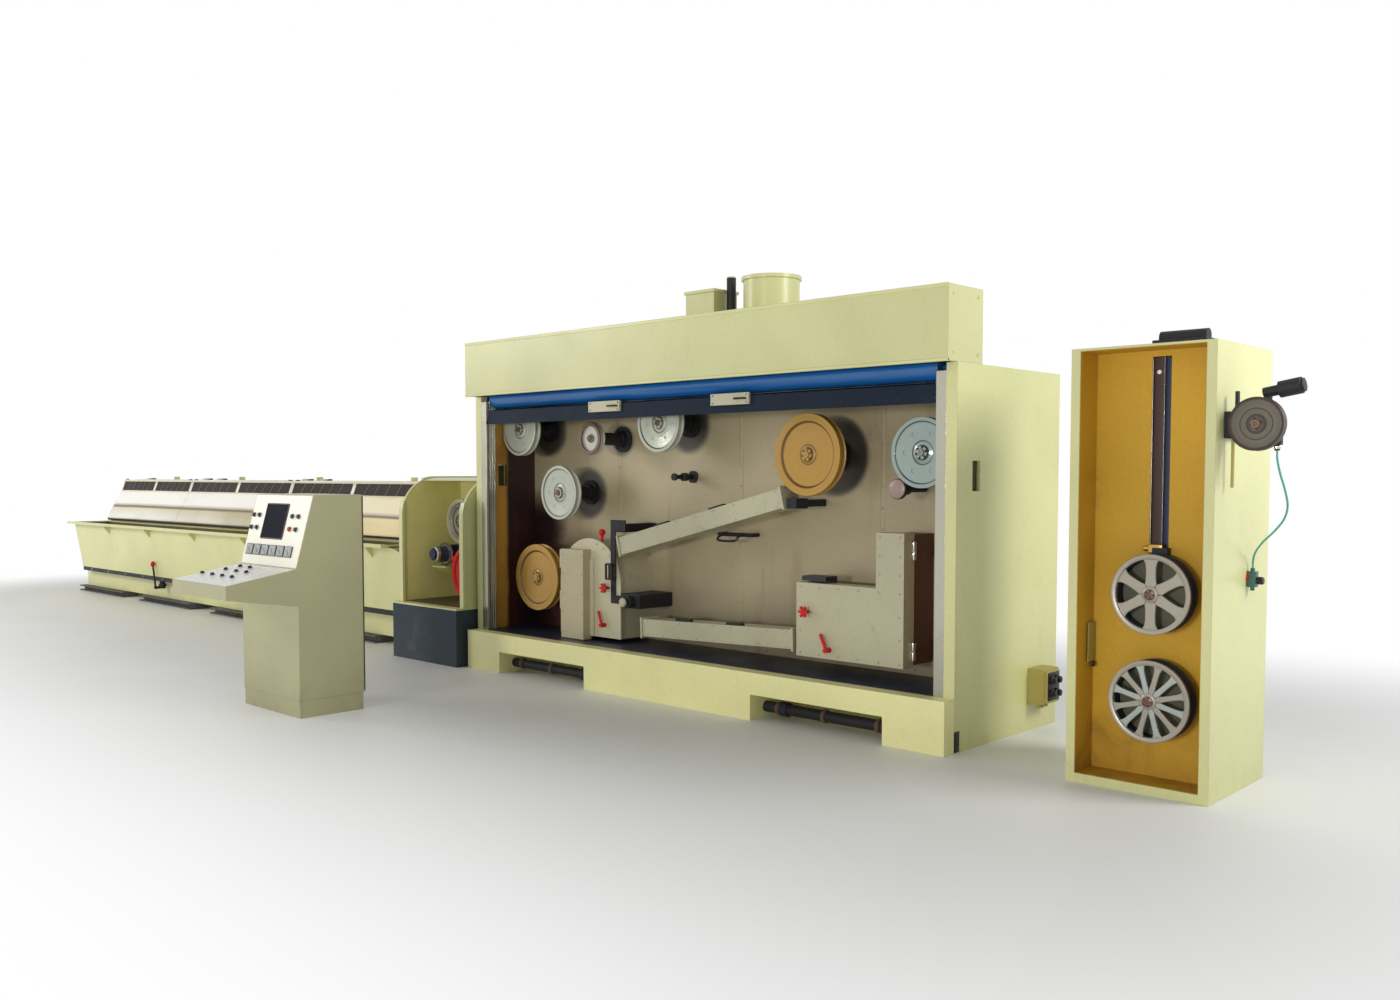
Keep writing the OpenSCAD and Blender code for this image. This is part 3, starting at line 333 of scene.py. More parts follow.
def drawn(outline: Array, axis: Axis, start: float, end: float, bevel: float = 0.0,
          at: Point = (0, 0, 0)) -> Shape:
    """A plane outline carried straight along an axis, with its two end edges bevelled.

    Near each end the outline shrinks by the bevel while the height moves by the bevel.

    Args:
        outline: the outline's points.
        axis: the axis that it is carried along.
        start: height of its first end.
        end: height of its last end.
        bevel: size of the bevels.
        at: what is added to every point.

    Returns:
        The closed surface.
    """
    o = np.asarray(outline, dtype=float)
    area = float(np.sum(o[:, 0] * np.roll(o[:, 1], -1) - np.roll(o[:, 0], -1) * o[:, 1]))
    o = o[::-1] if area < 0 else o
    rings = [(0.0, start), (0.0, end)]
    if bevel > 0:
        s = bevel if end > start else -bevel
        rings = [(bevel, start), (0.0, start + s), (0.0, end - s), (bevel, end)]
    points = np.stack([set_along(inset(o, d) if d else o, h, axis) for d, h in rings]) + np.array(at)
    n = len(o)
    caps = [list(range(n))[::-1], [(len(rings) - 1) * n + k for k in range(n)]]
    return Shape().add(points, grid(len(rings), n), caps)


def block(low: Point, high: Point, radius: float = 0.004) -> Shape:
    """A box whose upright edges are round and whose ends are bevelled.

    Args:
        low: its lowest corner.
        high: its highest corner.
        radius: of the upright edges; the bevels are 0.7 of it.

    Returns:
        The closed surface.
    """
    (x0, y0, z0), (x1, y1, z1) = low, high
    r = min(radius, (x1 - x0) / 2.1, (y1 - y0) / 2.1, (z1 - z0) / 2.1)
    outline = round_rect(x1 - x0, y1 - y0, r, 3) + np.array([(x0 + x1) / 2, (y0 + y1) / 2])
    return drawn(outline, Axis.Z, z0, z1, r * 0.7)


def swept(path: Sequence[Point], outline: Array, up: Point = (0, 0, 1)) -> Shape:
    """A profile carried along a path: point + u side + v top, square to the path.

    Args:
        path: points of the path.
        outline: the profile's (u, v) points.
        up: the direction that v stays nearest to.

    Returns:
        The closed tube.
    """
    p = np.asarray(path, dtype=float)
    t = np.gradient(p, axis=0)
    t /= np.linalg.norm(t, axis=1, keepdims=True)
    side = np.cross(t, np.asarray(up, dtype=float))
    side /= np.linalg.norm(side, axis=1, keepdims=True) + 1e-12
    top = np.cross(side, t)
    o = np.asarray(outline, dtype=float)
    points = p[:, None, :] + o[None, :, :1] * side[:, None, :] + o[None, :, 1:] * top[:, None, :]
    n = len(o)
    caps = [list(range(n))[::-1], [(len(p) - 1) * n + k for k in range(n)]]
    return Shape().add(points, grid(len(p), n), caps)


def circle(radius: float, steps: int = 12) -> Array:
    """Outline of a circle about the origin."""
    return arc((0, 0), radius, 0, 360, steps)[:-1]


def smooth_path(points: Sequence[Point], steps: int = 6) -> Array:
    """A Catmull-Rom curve through points.

    Args:
        points: what it passes through.
        steps: equal steps in each stretch.

    Returns:
        The curve's points.
    """
    p = np.asarray(points, dtype=float)
    p = np.concatenate([[2 * p[0] - p[1]], p, [2 * p[-1] - p[-2]]])
    t = np.linspace(0, 1, steps, endpoint=False)[:, None]
    a, b, c, d = p[:-3, None], p[1:-2, None], p[2:-1, None], p[3:, None]
    square, cube = 2 * a - 5 * b + 4 * c - d, 3 * b - a - 3 * c + d
    curve = 0.5 * (2 * b + (c - a) * t + square * t ** 2 + cube * t ** 3)
    return np.concatenate([curve.reshape(-1, 3), p[-2:-1]])


def spaced(start: float, end: float, count: int) -> Array:
    """Evenly spaced places from start to end, both included."""
    return np.linspace(start, end, count)


def bolts(places: Array, axis: Axis, size: float = 0.012, out: int = LOW_SIDE,
          sides: int = HEX_HEAD) -> Shape:
    """Screw heads at places: a washer and a chamfered head turned about the axis.

    Args:
        places: points on the surface that carries them.
        axis: the direction they are driven along.
        size: radius of the head.
        out: the axis's side that the heads stand on, LOW_SIDE or HIGH_SIDE.
        sides: sides of the head, HEX_HEAD or more for round ones.

    Returns:
        All the heads.
    """
    o = float(out)
    wide = size * 1.45
    washer = turned([(wide, -0.001 * o), (wide, 0.0015 * o), (size * 1.3, 0.0025 * o)], (0, 0, 0), axis, 14)
    tall = size * 0.8 * o
    head = turned([(size, 0.002 * o), (size, size * 0.65 * o), (size * 0.82, tall)], (0, 0, 0), axis, sides)
    return washer.join(head).copies(places)


# Finishes


class Value:
    """A number socket on which Python's operators add Math nodes."""

    def __init__(self, board: "Board", socket: bpy.types.NodeSocket) -> None:
        """Keeps the node tree it belongs to and its socket."""
        self.board = board
        self.socket = socket

    def _do(self, operation: str, *values: "Value | float") -> "Value":
        """Adds one Math node."""
        return self.board.math(operation, *values)

    def __add__(self, other: "Value | float") -> "Value":
        """self + other."""
        return self._do("ADD", self, other)

    def __radd__(self, other: float) -> "Value":
        """other + self."""
        return self._do("ADD", other, self)

    def __sub__(self, other: "Value | float") -> "Value":
        """self - other."""
        return self._do("SUBTRACT", self, other)

    def __mul__(self, other: "Value | float") -> "Value":
        """self * other."""
        return self._do("MULTIPLY", self, other)

    def __truediv__(self, other: "Value | float") -> "Value":
        """self / other."""
        return self._do("DIVIDE", self, other)

    def ramp(self, low: float, high: float, first: float = 0.0, last: float = 1.0) -> "Value":
        """A smooth, clamped step.

        Args:
            low: where it starts.
            high: where it ends.
            first: its value at low.
            last: its value at high.

        Returns:
            The new value.
        """
        return Value(self.board, self.board.node(
            "ShaderNodeMapRange", {"interpolation_type": "SMOOTHSTEP"},
            {"Value": self, "From Min": low, "From Max": high, "To Min": first, "To Max": last}).outputs[0])


class Board:
    """The node tree of one material, with one method for every kind of node."""

    def __init__(self, name: str) -> None:
        """Makes the material with a Principled shader on its output.

        Args:
            name: the material's name.
        """
        self.made = bpy.data.materials.new(name)
        self.made.use_nodes = True
        self.tree = self.made.node_tree
        self.tree.nodes.clear()
        self.shader = self.tree.nodes.new("ShaderNodeBsdfPrincipled")
        self.output = self.tree.nodes.new("ShaderNodeOutputMaterial")
        self.tree.links.new(self.shader.outputs[0], self.output.inputs["Surface"])
        self.place = self.node("ShaderNodeTexCoord").outputs["Object"]

    def node(self, kind: str, settings: dict | None = None, inputs: dict | None = None) -> bpy.types.Node:
        """Adds a node.

        Args:
            kind: Blender's type name.
            settings: attributes, set first; stops holds a ramp's (place, colour) pairs.
            inputs: values or links by socket name or number.

        Returns:
            The node.
        """
        made = self.tree.nodes.new(kind)
        for key, value in (settings or {}).items():
            if key == "stops":
                ramp = made.color_ramp.elements
                ramp[0].position, ramp[1].position = value[0][0], value[-1][0]
                for spot, _ in value[1:-1]:
                    ramp.new(spot)
                for stop, (_, colour) in zip(ramp, value):
                    stop.color = (*colour, 1)
            else:
                setattr(made, key, value)
        for key, value in (inputs or {}).items():
            self.feed(made.inputs[key], value)
        return made

    def feed(self, socket: bpy.types.NodeSocket, value: object) -> None:
        """Links a socket or writes a constant into it.

        Args:
            socket: the input.
            value: a value, a socket, a colour or a number.
        """
        value = value.socket if isinstance(value, Value) else value
        if isinstance(value, bpy.types.NodeSocket):
            self.tree.links.new(value, socket)
        elif isinstance(value, tuple) and len(value) == 3 and socket.type == "RGBA":
            socket.default_value = (*value, 1)
        else:
            socket.default_value = value

    def math(self, operation: str, *values: Value | float) -> Value:
        """Adds a Math node on up to three numbers."""
        made = self.node("ShaderNodeMath", {"operation": operation}, dict(enumerate(values)))
        return Value(self, made.outputs[0])

    def stretched(self, scale: Point) -> bpy.types.NodeSocket:
        """Object coordinates, scaled along each axis."""
        return self.node("ShaderNodeMapping", None, {"Vector": self.place, "Scale": scale}).outputs[0]

    def noise(self, scale: float, detail: float = 3.0, stretch: Point = (1, 1, 1), rough: float = 0.5,
              warp: float = 0.0) -> Value:
        """A cloud pattern from 0 to 1 in object coordinates.

        Args:
            scale: clouds to a metre.
            detail: octaves of finer clouds.
            stretch: scale along each axis.
            rough: how strong the finer clouds are.
            warp: how far they are bent.

        Returns:
            The pattern.
        """
        made = self.node("ShaderNodeTexNoise", None, {
            "Vector": self.stretched(stretch), "Scale": scale, "Detail": detail, "Roughness": rough,
            "Distortion": warp})
        return Value(self, made.outputs[0])

    def axis(self, index: int) -> Value:
        """One object coordinate: 0 for x, 1 for y, 2 for z."""
        return Value(self, self.node("ShaderNodeSeparateXYZ", None, {0: self.place}).outputs[index])

    def blend(self, factor: Value | float, first: object, second: object,
              mode: str = "MIX") -> bpy.types.NodeSocket:
        """Mixes two colours.

        Args:
            factor: share of the second.
            first: a colour or a socket.
            second: another.
            mode: Blender's name for the way of mixing.

        Returns:
            The mixed colour.
        """
        made = self.node("ShaderNodeMix", {"data_type": "RGBA", "blend_type": mode},
                         {0: factor, 6: first, 7: second})
        return made.outputs[2]

    def under(self) -> bpy.types.NodeSocket:
        """The colour that feeds the shader so far."""
        return self.shader.inputs["Base Color"].links[0].from_socket

    def colour(self, socket: bpy.types.NodeSocket) -> None:
        """Feeds the shader's colour."""
        self.feed(self.shader.inputs["Base Color"], socket)

    def roughness(self, value: Value) -> None:
        """Feeds the shader's roughness, held between 0.02 and 1."""
        self.feed(self.shader.inputs["Roughness"], value.ramp(0.02, 1.0, 0.02, 1.0))

    def edges(self, radius: float) -> tuple[bpy.types.NodeSocket, Value]:
        """A normal rounded over edges, and a mask that is 1 on them.

        The mask grows as the rounded normal leans away from the face's own normal.

        Args:
            radius: how far the rounding reaches.

        Returns:
            The normal and the mask.
        """
        soft = self.node("ShaderNodeBevel", {"samples": 4}, {"Radius": radius}).outputs[0]
        face = self.node("ShaderNodeNewGeometry").outputs["True Normal"]
        lean = self.node("ShaderNodeVectorMath", {"operation": "DOT_PRODUCT"}, {0: soft, 1: face})
        return soft, Value(self, lean.outputs["Value"]).ramp(0.995, 0.86)


@dataclass(frozen=True)
class Finish:
    """What a surface is: its colour, gloss, dirt and wear.

    gloss is the shader's Specular IOR Level, and foot how much darker it grows towards the floor.
    """
    name: str
    colour: Colour
    rough: float = 0.42
    metal: float = 0.0
    coat: float = 0.0
    gloss: float = 0.5
    shade: float = 0.07
    dirt: float = 0.25
    dirt_colour: Colour = paint(88, 76, 58)
    dirt_size: float = 3.0
    wear: float = 0.35
    wear_colour: Colour = paint(150, 145, 135)
    foot: float = 0.0
    streak: float = 0.0
    grain: Point = (1, 1, 1)
    grain_scale: float = 60.0
    bump: float = 0.06
    edge: float = 0.004

    def material(self) -> bpy.types.Material:
        """Builds the material once and then hands out the same one."""
        found = bpy.data.materials.get("finish_" + self.name)
        return found or self.build(Board("finish_" + self.name))

    def build(self, board: Board) -> bpy.types.Material:
        """Lays broad shade, dirt clouds, streaks, darkening towards the floor and edge wear over the colour.

        Args:
            board: the new material's nodes.

        Returns:
            The material.
        """
        b = board
        broad = b.noise(0.9, 2.0, warp=0.4)
        cloud = b.noise(self.dirt_size, 6.0, rough=0.62, warp=0.8)
        fine = b.noise(self.grain_scale, 3.0, self.grain)
        dark = tuple(c * (1 - self.shade) for c in self.colour)
        light = tuple(min(c * (1 + self.shade), 1.0) for c in self.colour)
        base = b.blend(broad.ramp(0.3, 0.7), dark, light)
        base = b.blend(fine.ramp(0.25, 0.75) * (self.shade * 0.9), base, self.dirt_colour)
        smudge = cloud.ramp(0.52, 0.78) * self.dirt
        if self.streak:
            runs = b.noise(9.0, 4.0, (1.0, 1.0, 0.06), 0.6)
            smudge = smudge + runs.ramp(0.55, 0.8) * self.streak
        if self.foot:
            low = b.axis(2).ramp(0.55, 0.0)
            smudge = smudge + low * (0.25 + cloud) * self.foot
        base = b.blend(smudge.ramp(0.0, 1.0), base, self.dirt_colour)
        soft, rim = b.edges(self.edge)
        chips = b.noise(38.0, 4.0, rough=0.7).ramp(0.42, 0.62)
        worn = rim * chips * self.wear
        base = b.blend(worn, base, self.wear_colour)
        b.colour(base)
        b.roughness(fine * 0.10 + cloud * 0.16 + smudge * 0.12 + (self.rough - 0.13))
        b.shader.inputs["Metallic"].default_value = self.metal
        b.shader.inputs["Specular IOR Level"].default_value = self.gloss
        b.shader.inputs["Coat Weight"].default_value = self.coat
        b.shader.inputs["Coat Roughness"].default_value = 0.15
        lumps = b.node("ShaderNodeBump", None, {
            "Strength": self.bump, "Distance": 0.002, "Height": fine, "Normal": soft})
        b.feed(b.shader.inputs["Normal"], lumps.outputs[0])
        return b.made

    def dress(self, *nodes: str) -> None:
        """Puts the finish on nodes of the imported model.

        Args:
            nodes: their names.
        """
        for node in nodes:
            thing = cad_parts[node]
            if not thing.material_slots:
                thing.data.materials.append(self.material())
            for spot in thing.material_slots:
                spot.material = self.material()


@dataclass(frozen=True)
class TurnedFinish(Finish):
    """A finish with lathe rings about a y axis through a centre, and painted shade in its grooves.

    rings is how many there are to a metre, and each groove is its radius and half its width.
    """
    centre: Point = (0, 0, 0)
    rings: float = 160.0
    ring_depth: float = 0.35
    shaded_grooves: tuple[tuple[float, float], ...] = ()

    def build(self, board: Board) -> bpy.types.Material:
        """Adds rings by the distance from the centre, sqrt(dx^2 + dz^2), and dark lines of painted shade at
        the grooves.
        """
        made = super().build(board)
        b = board
        dx = b.axis(0) - self.centre[0]
        dz = b.axis(2) - self.centre[2]
        radius = b.math("SQRT", dx * dx + dz * dz)
        lathe = Value(b, b.node("ShaderNodeTexNoise", {"noise_dimensions": "1D"},
                                {"W": radius * self.rings, "Scale": 1.0, "Detail": 3.0}).outputs[0])
        shade = lathe.ramp(0.25, 0.75)
        base = b.blend(shade * self.ring_depth, b.under(), tuple(c * 0.6 for c in self.colour))
        # Painted shade: a dark ring at each groove, where the face steps.
        for middle, half in self.shaded_grooves:
            line = b.math("ABSOLUTE", radius - middle).ramp(half, half * 0.35)
            base = b.blend(line * 0.85, base, tuple(c * 0.22 for c in self.colour))
        b.colour(base)
        b.roughness(shade * 0.2 + (self.rough - 0.1))
        return made


# The lid's bands as a share of its height with the colour there: a painted shadow at the foot and painted
# shade in and just above the crease.
LID_BANDS_AND_SHADE = (
    (0.0, paint(78, 58, 48)), (0.03, paint(140, 116, 92)), (0.05, paint(246, 242, 228)),
    (0.12, paint(254, 253, 248)), (0.40, paint(228, 218, 188)), (0.44, paint(112, 92, 70)),
    (0.475, paint(96, 78, 60)), (0.50, paint(186, 172, 142)), (0.58, paint(253, 252, 246)),
    (0.92, paint(250, 248, 238)), (1.0, paint(214, 204, 178)))


@dataclass(frozen=True)
class LidSteel(Finish):
    """Bright lid panels in two bands, with painted shade in the crease between them and a painted shadow at
    the foot.

    The bands run from height low to height high. The tan begins at tan_from, is full at
    tan_to, and turns warmer from warm_from to warm_to. The upper band's glow ends between
    glow_end's two places.
    """
    low: float = 0.95
    high: float = 1.336
    tan_from: float = -10.4
    tan_to: float = -7.4
    warm_from: float = -6.4
    warm_to: float = -4.4
    glow_end: tuple[float, float] = (-3.5, -4.6)

    def build(self, board: Board) -> bpy.types.Material:
        """Bands follow the height, bent by a slow cloud, and grow tan and then warm along x."""
        made = super().build(board)
        b = board
        drift = b.noise(1.3, 2.0, (0.35, 1, 1)) * 0.06 - 0.03
        height = (b.axis(2) - self.low) / (self.high - self.low) + drift
        # Painted shade at the crease and a painted shadow at the foot come from these bands.
        level = b.node("ShaderNodeValToRGB", {"stops": LID_BANDS_AND_SHADE}, {0: height}).outputs[0]
        tan = b.axis(0).ramp(self.tan_from, self.tan_to) * (b.noise(0.8, 3.0).ramp(0.3, 0.7) * 0.5 + 0.5)
        lower = height.ramp(0.47, 0.40)
        level = b.blend(tan * lower * 0.9, level, b.blend(1.0, level, paint(184, 176, 136), "MULTIPLY"))
        warm = b.axis(0).ramp(self.warm_from, self.warm_to)
        level = b.blend(warm * lower, level, paint(250, 230, 170))
        glow = warm * b.axis(0).ramp(*self.glow_end) * height.ramp(0.5, 0.6)
        level = b.blend(glow, level, b.blend(1.0, level, paint(255, 245, 210), "MULTIPLY"))
        stains = b.noise(2.2, 5.0, (0.5, 1, 1.6), 0.6).ramp(0.5, 0.72)
        level = b.blend(stains * 0.16, level, paint(170, 152, 116))
        b.colour(b.blend(0.92, b.under(), level))
        return made


@dataclass(frozen=True)
class LinerPaint(Finish):
    """Ochre side walls of the chamber, with painted shade darkening the left one.

    strip is the depth y where the painted shade starts, and middle the x that parts the two walls.
    """
    strip: float = 0.33
    middle: float = 0.0

    def build(self, board: Board) -> bpy.types.Material:
        """The painted shade starts at depth y = strip, wandering with a cloud, left of the middle."""
        made = super().build(board)
        b = board
        # Painted shade: the left wall turns dark maroon past depth strip.
        deep = (b.axis(1) + b.noise(2.4, 4.0) * 0.06).ramp(self.strip, self.strip + 0.05)
        left = b.axis(0).ramp(self.middle, self.middle - 0.01)
        deep_shade = b.blend(b.noise(3.0, 5.0, (1, 1, 0.5)).ramp(0.4, 0.75), paint(44, 26, 32), paint(98, 54, 42))
        b.colour(b.blend(deep * left, b.under(), deep_shade))
        return made


@dataclass(frozen=True)
class PlateSteel(Finish):
    """The chamber's back plate: mottled steel, with painted shade at its lower left and painted shadows round
    the shafts.

    corner is the (x, z) place that the painted shade is measured from, and the last field lists the wheels
    with a painted shadow behind them.
    """
    corner: tuple[float, float] = (0.0, 0.0)
    shadowed_wheels: tuple[str, ...] = ()

    def build(self, board: Board) -> bpy.types.Material:
        """Painted shade grows as x and z fall below the corner, bent by a cloud; stains hang down.

        The painted shadow round a wheel of radius r fades where dx^2 + dz^2 goes from (r - 0.05)^2 to
        (r + 0.02)^2.
        """
        made = super().build(board)
        b = board
        cloud = b.noise(1.6, 4.0, rough=0.6) * 0.5 - 0.25
        x, z = b.axis(0) + cloud, b.axis(2) + cloud
        cx, cz = self.corner
        # Painted shade: dark maroon up the plate's left side and over its lower left.
        near = z.ramp(cz + 0.62, cz + 0.25) * x.ramp(cx - 0.62, cx - 0.90)
        left = b.math("MAXIMUM", x.ramp(cx + 0.30, cx - 0.22) * z.ramp(cz + 0.22, cz - 0.25), near)
        shade = b.blend(b.noise(3.0, 4.0).ramp(0.35, 0.7), paint(40, 24, 30), paint(84, 52, 48))
        foot = (b.axis(2) + cloud * 0.5).ramp(0.95, 0.36) * 0.42
        base = b.blend(foot, b.under(), paint(84, 74, 66))
        hung = b.noise(5.0, 4.0, (1.0, 1.0, 0.14), 0.6).ramp(0.55, 0.78)
        base = b.blend(hung * 0.30, base, paint(112, 84, 66))
        base = b.blend(left, base, shade)
        # Painted shadow: a dark disc behind each listed wheel, about the wheel's size.
        for node in self.shadowed_wheels:
            low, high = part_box(node)
            r = (high[0] - low[0]) / 2
            dx = b.axis(0) + cloud * 0.05 - ((low[0] + high[0]) / 2 - 0.01)
            dz = b.axis(2) - ((low[2] + high[2]) / 2 - 0.01)
            painted_shadow = (dx * dx + dz * dz).ramp((r + 0.02) ** 2, (r - 0.05) ** 2)
            base = b.blend(painted_shadow * 0.84, base, paint(44, 42, 50))
        b.colour(base)
        return made


@dataclass(frozen=True)
class PocketFinish(Finish):
    """A finish that turns to another colour behind a set of planes, as inside a tub.

    A plane is (nx, ny, nz, d). The bowl is the centre (x, z) of a round end and its two
    radii, so large as to do nothing where there is none. spread is how much lighter the
    inside's spots are.
    """
    planes: tuple[tuple[float, float, float, float], ...] = ()
    bowl: tuple[float, float, float, float] = (0.0, 0.0, 1000.0, 1000.0)
    inside: Colour = paint(96, 84, 46)
    spread: float = 1.7

    def build(self, board: Board) -> bpy.types.Material:
        """The mask is 1 where nx x + ny y + nz z + d is above 0 for every plane.

        Past the bowl's centre (x, z) it also asks for (dx / rx)^2 + (dz / rz)^2 below 1.
        """
        made = super().build(board)
        b = board
        bx, bz, rx, rz = self.bowl
        dx = b.math("MAXIMUM", b.axis(0) - bx, 0.0) / rx
        dz = b.math("MAXIMUM", b.axis(2) - bz, 0.0) / rz
        mask = (dx * dx + dz * dz).ramp(1.01, 0.99)
        for nx, ny, nz, d in self.planes:
            mask = mask * (b.axis(0) * nx + b.axis(1) * ny + b.axis(2) * nz + d).ramp(-0.001, 0.001)
        spots = b.noise(4.0, 5.0, rough=0.65).ramp(0.3, 0.75)
        deep = b.blend(spots, self.inside, tuple(c * self.spread for c in self.inside))
        b.colour(b.blend(mask, b.under(), deep))
        return made


CREAM = Finish("cream_enamel", paint(212, 211, 152), 0.40, coat=0.08, foot=0.14, streak=0.10, dirt=0.20,
               dirt_colour=paint(128, 112, 72), bump=0.05)
# Painted light and shade: the plinth's copy of the cream is lighter and the header's copy darker.
CREAM_PAINTED_LIGHT = replace(CREAM, name="plinth_enamel", colour=paint(240, 236, 172), foot=0.1)
CREAM_PAINTED_SHADE = replace(CREAM, name="header_enamel", colour=paint(204, 203, 148))
PALE_BOX = Finish("grey_cream_enamel", paint(188, 184, 154), 0.45, coat=0.05, dirt=0.6,
                  dirt_colour=paint(116, 102, 80), dirt_size=3.0, streak=0.15, shade=0.1)
LINER = LinerPaint("chamber_ochre", paint(214, 158, 66), 0.42, dirt=0.5, dirt_colour=paint(104, 72, 38),
                   shade=0.12, strip=-0.29)
TRAY = Finish("tray_slate", paint(38, 44, 62), 0.4, gloss=0.2, dirt=0.5, dirt_colour=paint(96, 84, 66),
              wear=0.5, bump=0.1)
DARK = Finish("dark_iron", paint(40, 41, 46), 0.5, gloss=0.2, dirt=0.4, dirt_colour=paint(92, 76, 60),
              wear=0.5)
BLACK = Finish("black_moulding", paint(26, 27, 30), 0.36, gloss=0.25, dirt=0.25, wear=0.15)
SLATE = Finish("slate_enamel", paint(54, 64, 74), 0.6, gloss=0.15, foot=0.3, dirt=0.22,
               dirt_colour=paint(112, 108, 98), wear=0.5)
FOOT_GREY = Finish("foot_grey", paint(92, 96, 98), 0.55, gloss=0.2, foot=0.5, dirt=0.5, wear=0.5, bump=0.12)
RED = Finish("red_enamel", paint(208, 36, 30), 0.4, gloss=0.2, coat=0.04, dirt=0.25,
             dirt_colour=paint(84, 30, 26))
BLUE_CLOTH = Finish("blue_curtain", paint(30, 98, 166), 0.30, coat=0.2, dirt=0.18,
                    dirt_colour=paint(20, 52, 92), grain=(1, 60, 60), grain_scale=14, shade=0.1, bump=0.1)
# The band's own smoked navy, with painted shade from the roll above it.
SHADED_BAND = Finish("smoked_band", paint(17, 31, 48), 0.5, gloss=0.12, dirt=0.2, dirt_colour=paint(50, 58, 64),
              shade=0.14)
ALLOY = Finish("cast_alloy", paint(178, 172, 158), 0.36, metal=0.75, dirt=0.35, dirt_colour=paint(92, 82, 66))
BARE_STEEL = Finish("machined_steel", paint(150, 147, 140), 0.30, metal=0.85, dirt=0.3,
                    dirt_colour=paint(80, 70, 56))
CHROME = Finish("bright_steel", paint(206, 206, 202), 0.16, metal=1.0, dirt=0.12, wear=0.0)
MOTOR = Finish("motor_navy", paint(38, 52, 84), 0.4, coat=0.15, dirt=0.35, dirt_colour=paint(86, 84, 78))
DESK = Finish("desk_khaki", paint(176, 174, 134), 0.45, foot=0.4, dirt=0.22, dirt_colour=paint(110, 102, 74))
DESK_FACE = Finish("desk_face", paint(244, 241, 224), 0.42, dirt=0.14, dirt_colour=paint(170, 158, 124))
# The dark brown of the bezel and vents, and painted shade in the rear door's gap.
DESK_DARK_AND_GAP_SHADE = Finish("desk_door", paint(70, 58, 44), 0.5, dirt=0.3)
SCREEN = Finish("screen_glass", paint(18, 22, 34), 0.6, gloss=0.05, dirt=0.05, wear=0.0, bump=0.0, edge=0.001)
METER_GREY = Finish("meter_face", paint(142, 146, 142), 0.25, coat=0.6, dirt=0.12, wear=0.0)
METER_EDGE = Finish("meter_edge", paint(70, 78, 86), 0.4, dirt=0.15, wear=0.1, edge=0.001)
WHITE = Finish("white_moulding", paint(254, 252, 240), 0.35, dirt=0.04, wear=0.0, bump=0.0)
YELLOW_BOX = Finish("yellowed_enamel", paint(170, 156, 84), 0.5, dirt=0.45, dirt_colour=paint(96, 80, 46))
TEAL = Finish("teal_moulding", paint(40, 98, 94), 0.4, dirt=0.3, dirt_colour=paint(40, 60, 54))
KNOB_TEAL = Finish("dark_teal_moulding", paint(24, 42, 52), 0.4, gloss=0.2, dirt=0.1, wear=0.0, edge=0.001)
HOSE_TEAL = Finish("hose_teal", paint(74, 164, 146), 0.3, coat=0.4, dirt=0.15, wear=0.0, bump=0.0, edge=0.001)
BRASS = Finish("brass", paint(196, 158, 84), 0.3, metal=0.9, dirt=0.25, dirt_colour=paint(104, 78, 40),
               wear=0.0)
RUST = Finish("rusty_iron", paint(100, 74, 58), 0.7, dirt=0.6, dirt_colour=paint(64, 40, 28), bump=0.3)
WINDOW = Finish("smoked_window", paint(34, 30, 32), 0.5, gloss=0.12, dirt=0.35,
                dirt_colour=paint(110, 84, 66), dirt_size=1.2, shade=0.25, wear=0.0, bump=0.01)
LID = LidSteel("lid_steel", paint(240, 232, 212), 0.4, metal=0.0, gloss=0.3, dirt=0.1,
               dirt_colour=paint(110, 82, 66), dirt_size=1.1, shade=0.03, grain=(0.1, 8, 8),
               grain_scale=30, bump=0.0, wear=0.1)
LID_BAR = Finish("lid_bars", paint(132, 126, 112), 0.5, gloss=0.2, dirt=0.3)
LID_RIB = Finish("lid_ribs", paint(238, 234, 218), 0.35, metal=0.1, dirt=0.25,
                 dirt_colour=paint(150, 124, 100))
# Painted shade: this dark olive stands for the shade in the wall slots and on the stand's floor.
SHADE_OLIVE = Finish("oily_floor", paint(74, 70, 46), 0.5, gloss=0.2, dirt=0.6, dirt_colour=paint(44, 40, 28))
PLATE = PlateSteel("back_plate", paint(178, 166, 134), 0.42, metal=0.2, dirt=0.45,
                   dirt_colour=paint(112, 90, 70), dirt_size=1.6, shade=0.12, grain=(0.25, 1, 12),
                   grain_scale=30, bump=0.02, corner=(-1.05, 0.95),
                   shadowed_wheels=("contact_pulley_upper", "guide_pulley_entry", "guide_pulley_middle",
                          "guide_pulley_left", "guide_pulley_small"))
RUBBER = Finish("black_rubber", paint(22, 22, 23), 0.75, dirt=0.3, dirt_colour=paint(80, 76, 70), wear=0.0,
                bump=0.15)
PINK_ROLLER = Finish("pink_roller", paint(164, 138, 128), 0.4, dirt=0.4, dirt_colour=paint(84, 60, 52))
OCHRE_TOWER = Finish("tower_ochre", paint(206, 162, 50), 0.5, gloss=0.2, dirt=0.35,
                     dirt_colour=paint(140, 100, 40), shade=0.12, streak=0.15, foot=0.6)
DISC_PALE = Finish("capstan_rim", paint(206, 198, 176), 0.4, metal=0.1, dirt=0.3,
                   dirt_colour=paint(120, 104, 84))
SIDE_BROWN = Finish("side_brown", paint(112, 104, 92), 0.5, gloss=0.3, dirt=0.4)
WEB_OLIVE = Finish("web_olive", paint(96, 94, 72), 0.6, dirt=0.4, dirt_colour=paint(40, 40, 40))
WHEEL_FACE = Finish("wheel_face", paint(158, 152, 138), 0.38, metal=0.35, dirt=0.3,
                    dirt_colour=paint(110, 94, 80))
WHEEL_LIGHT = Finish("wheel_light", paint(168, 174, 168), 0.34, metal=0.35, dirt=0.25,
                     dirt_colour=paint(120, 110, 100))
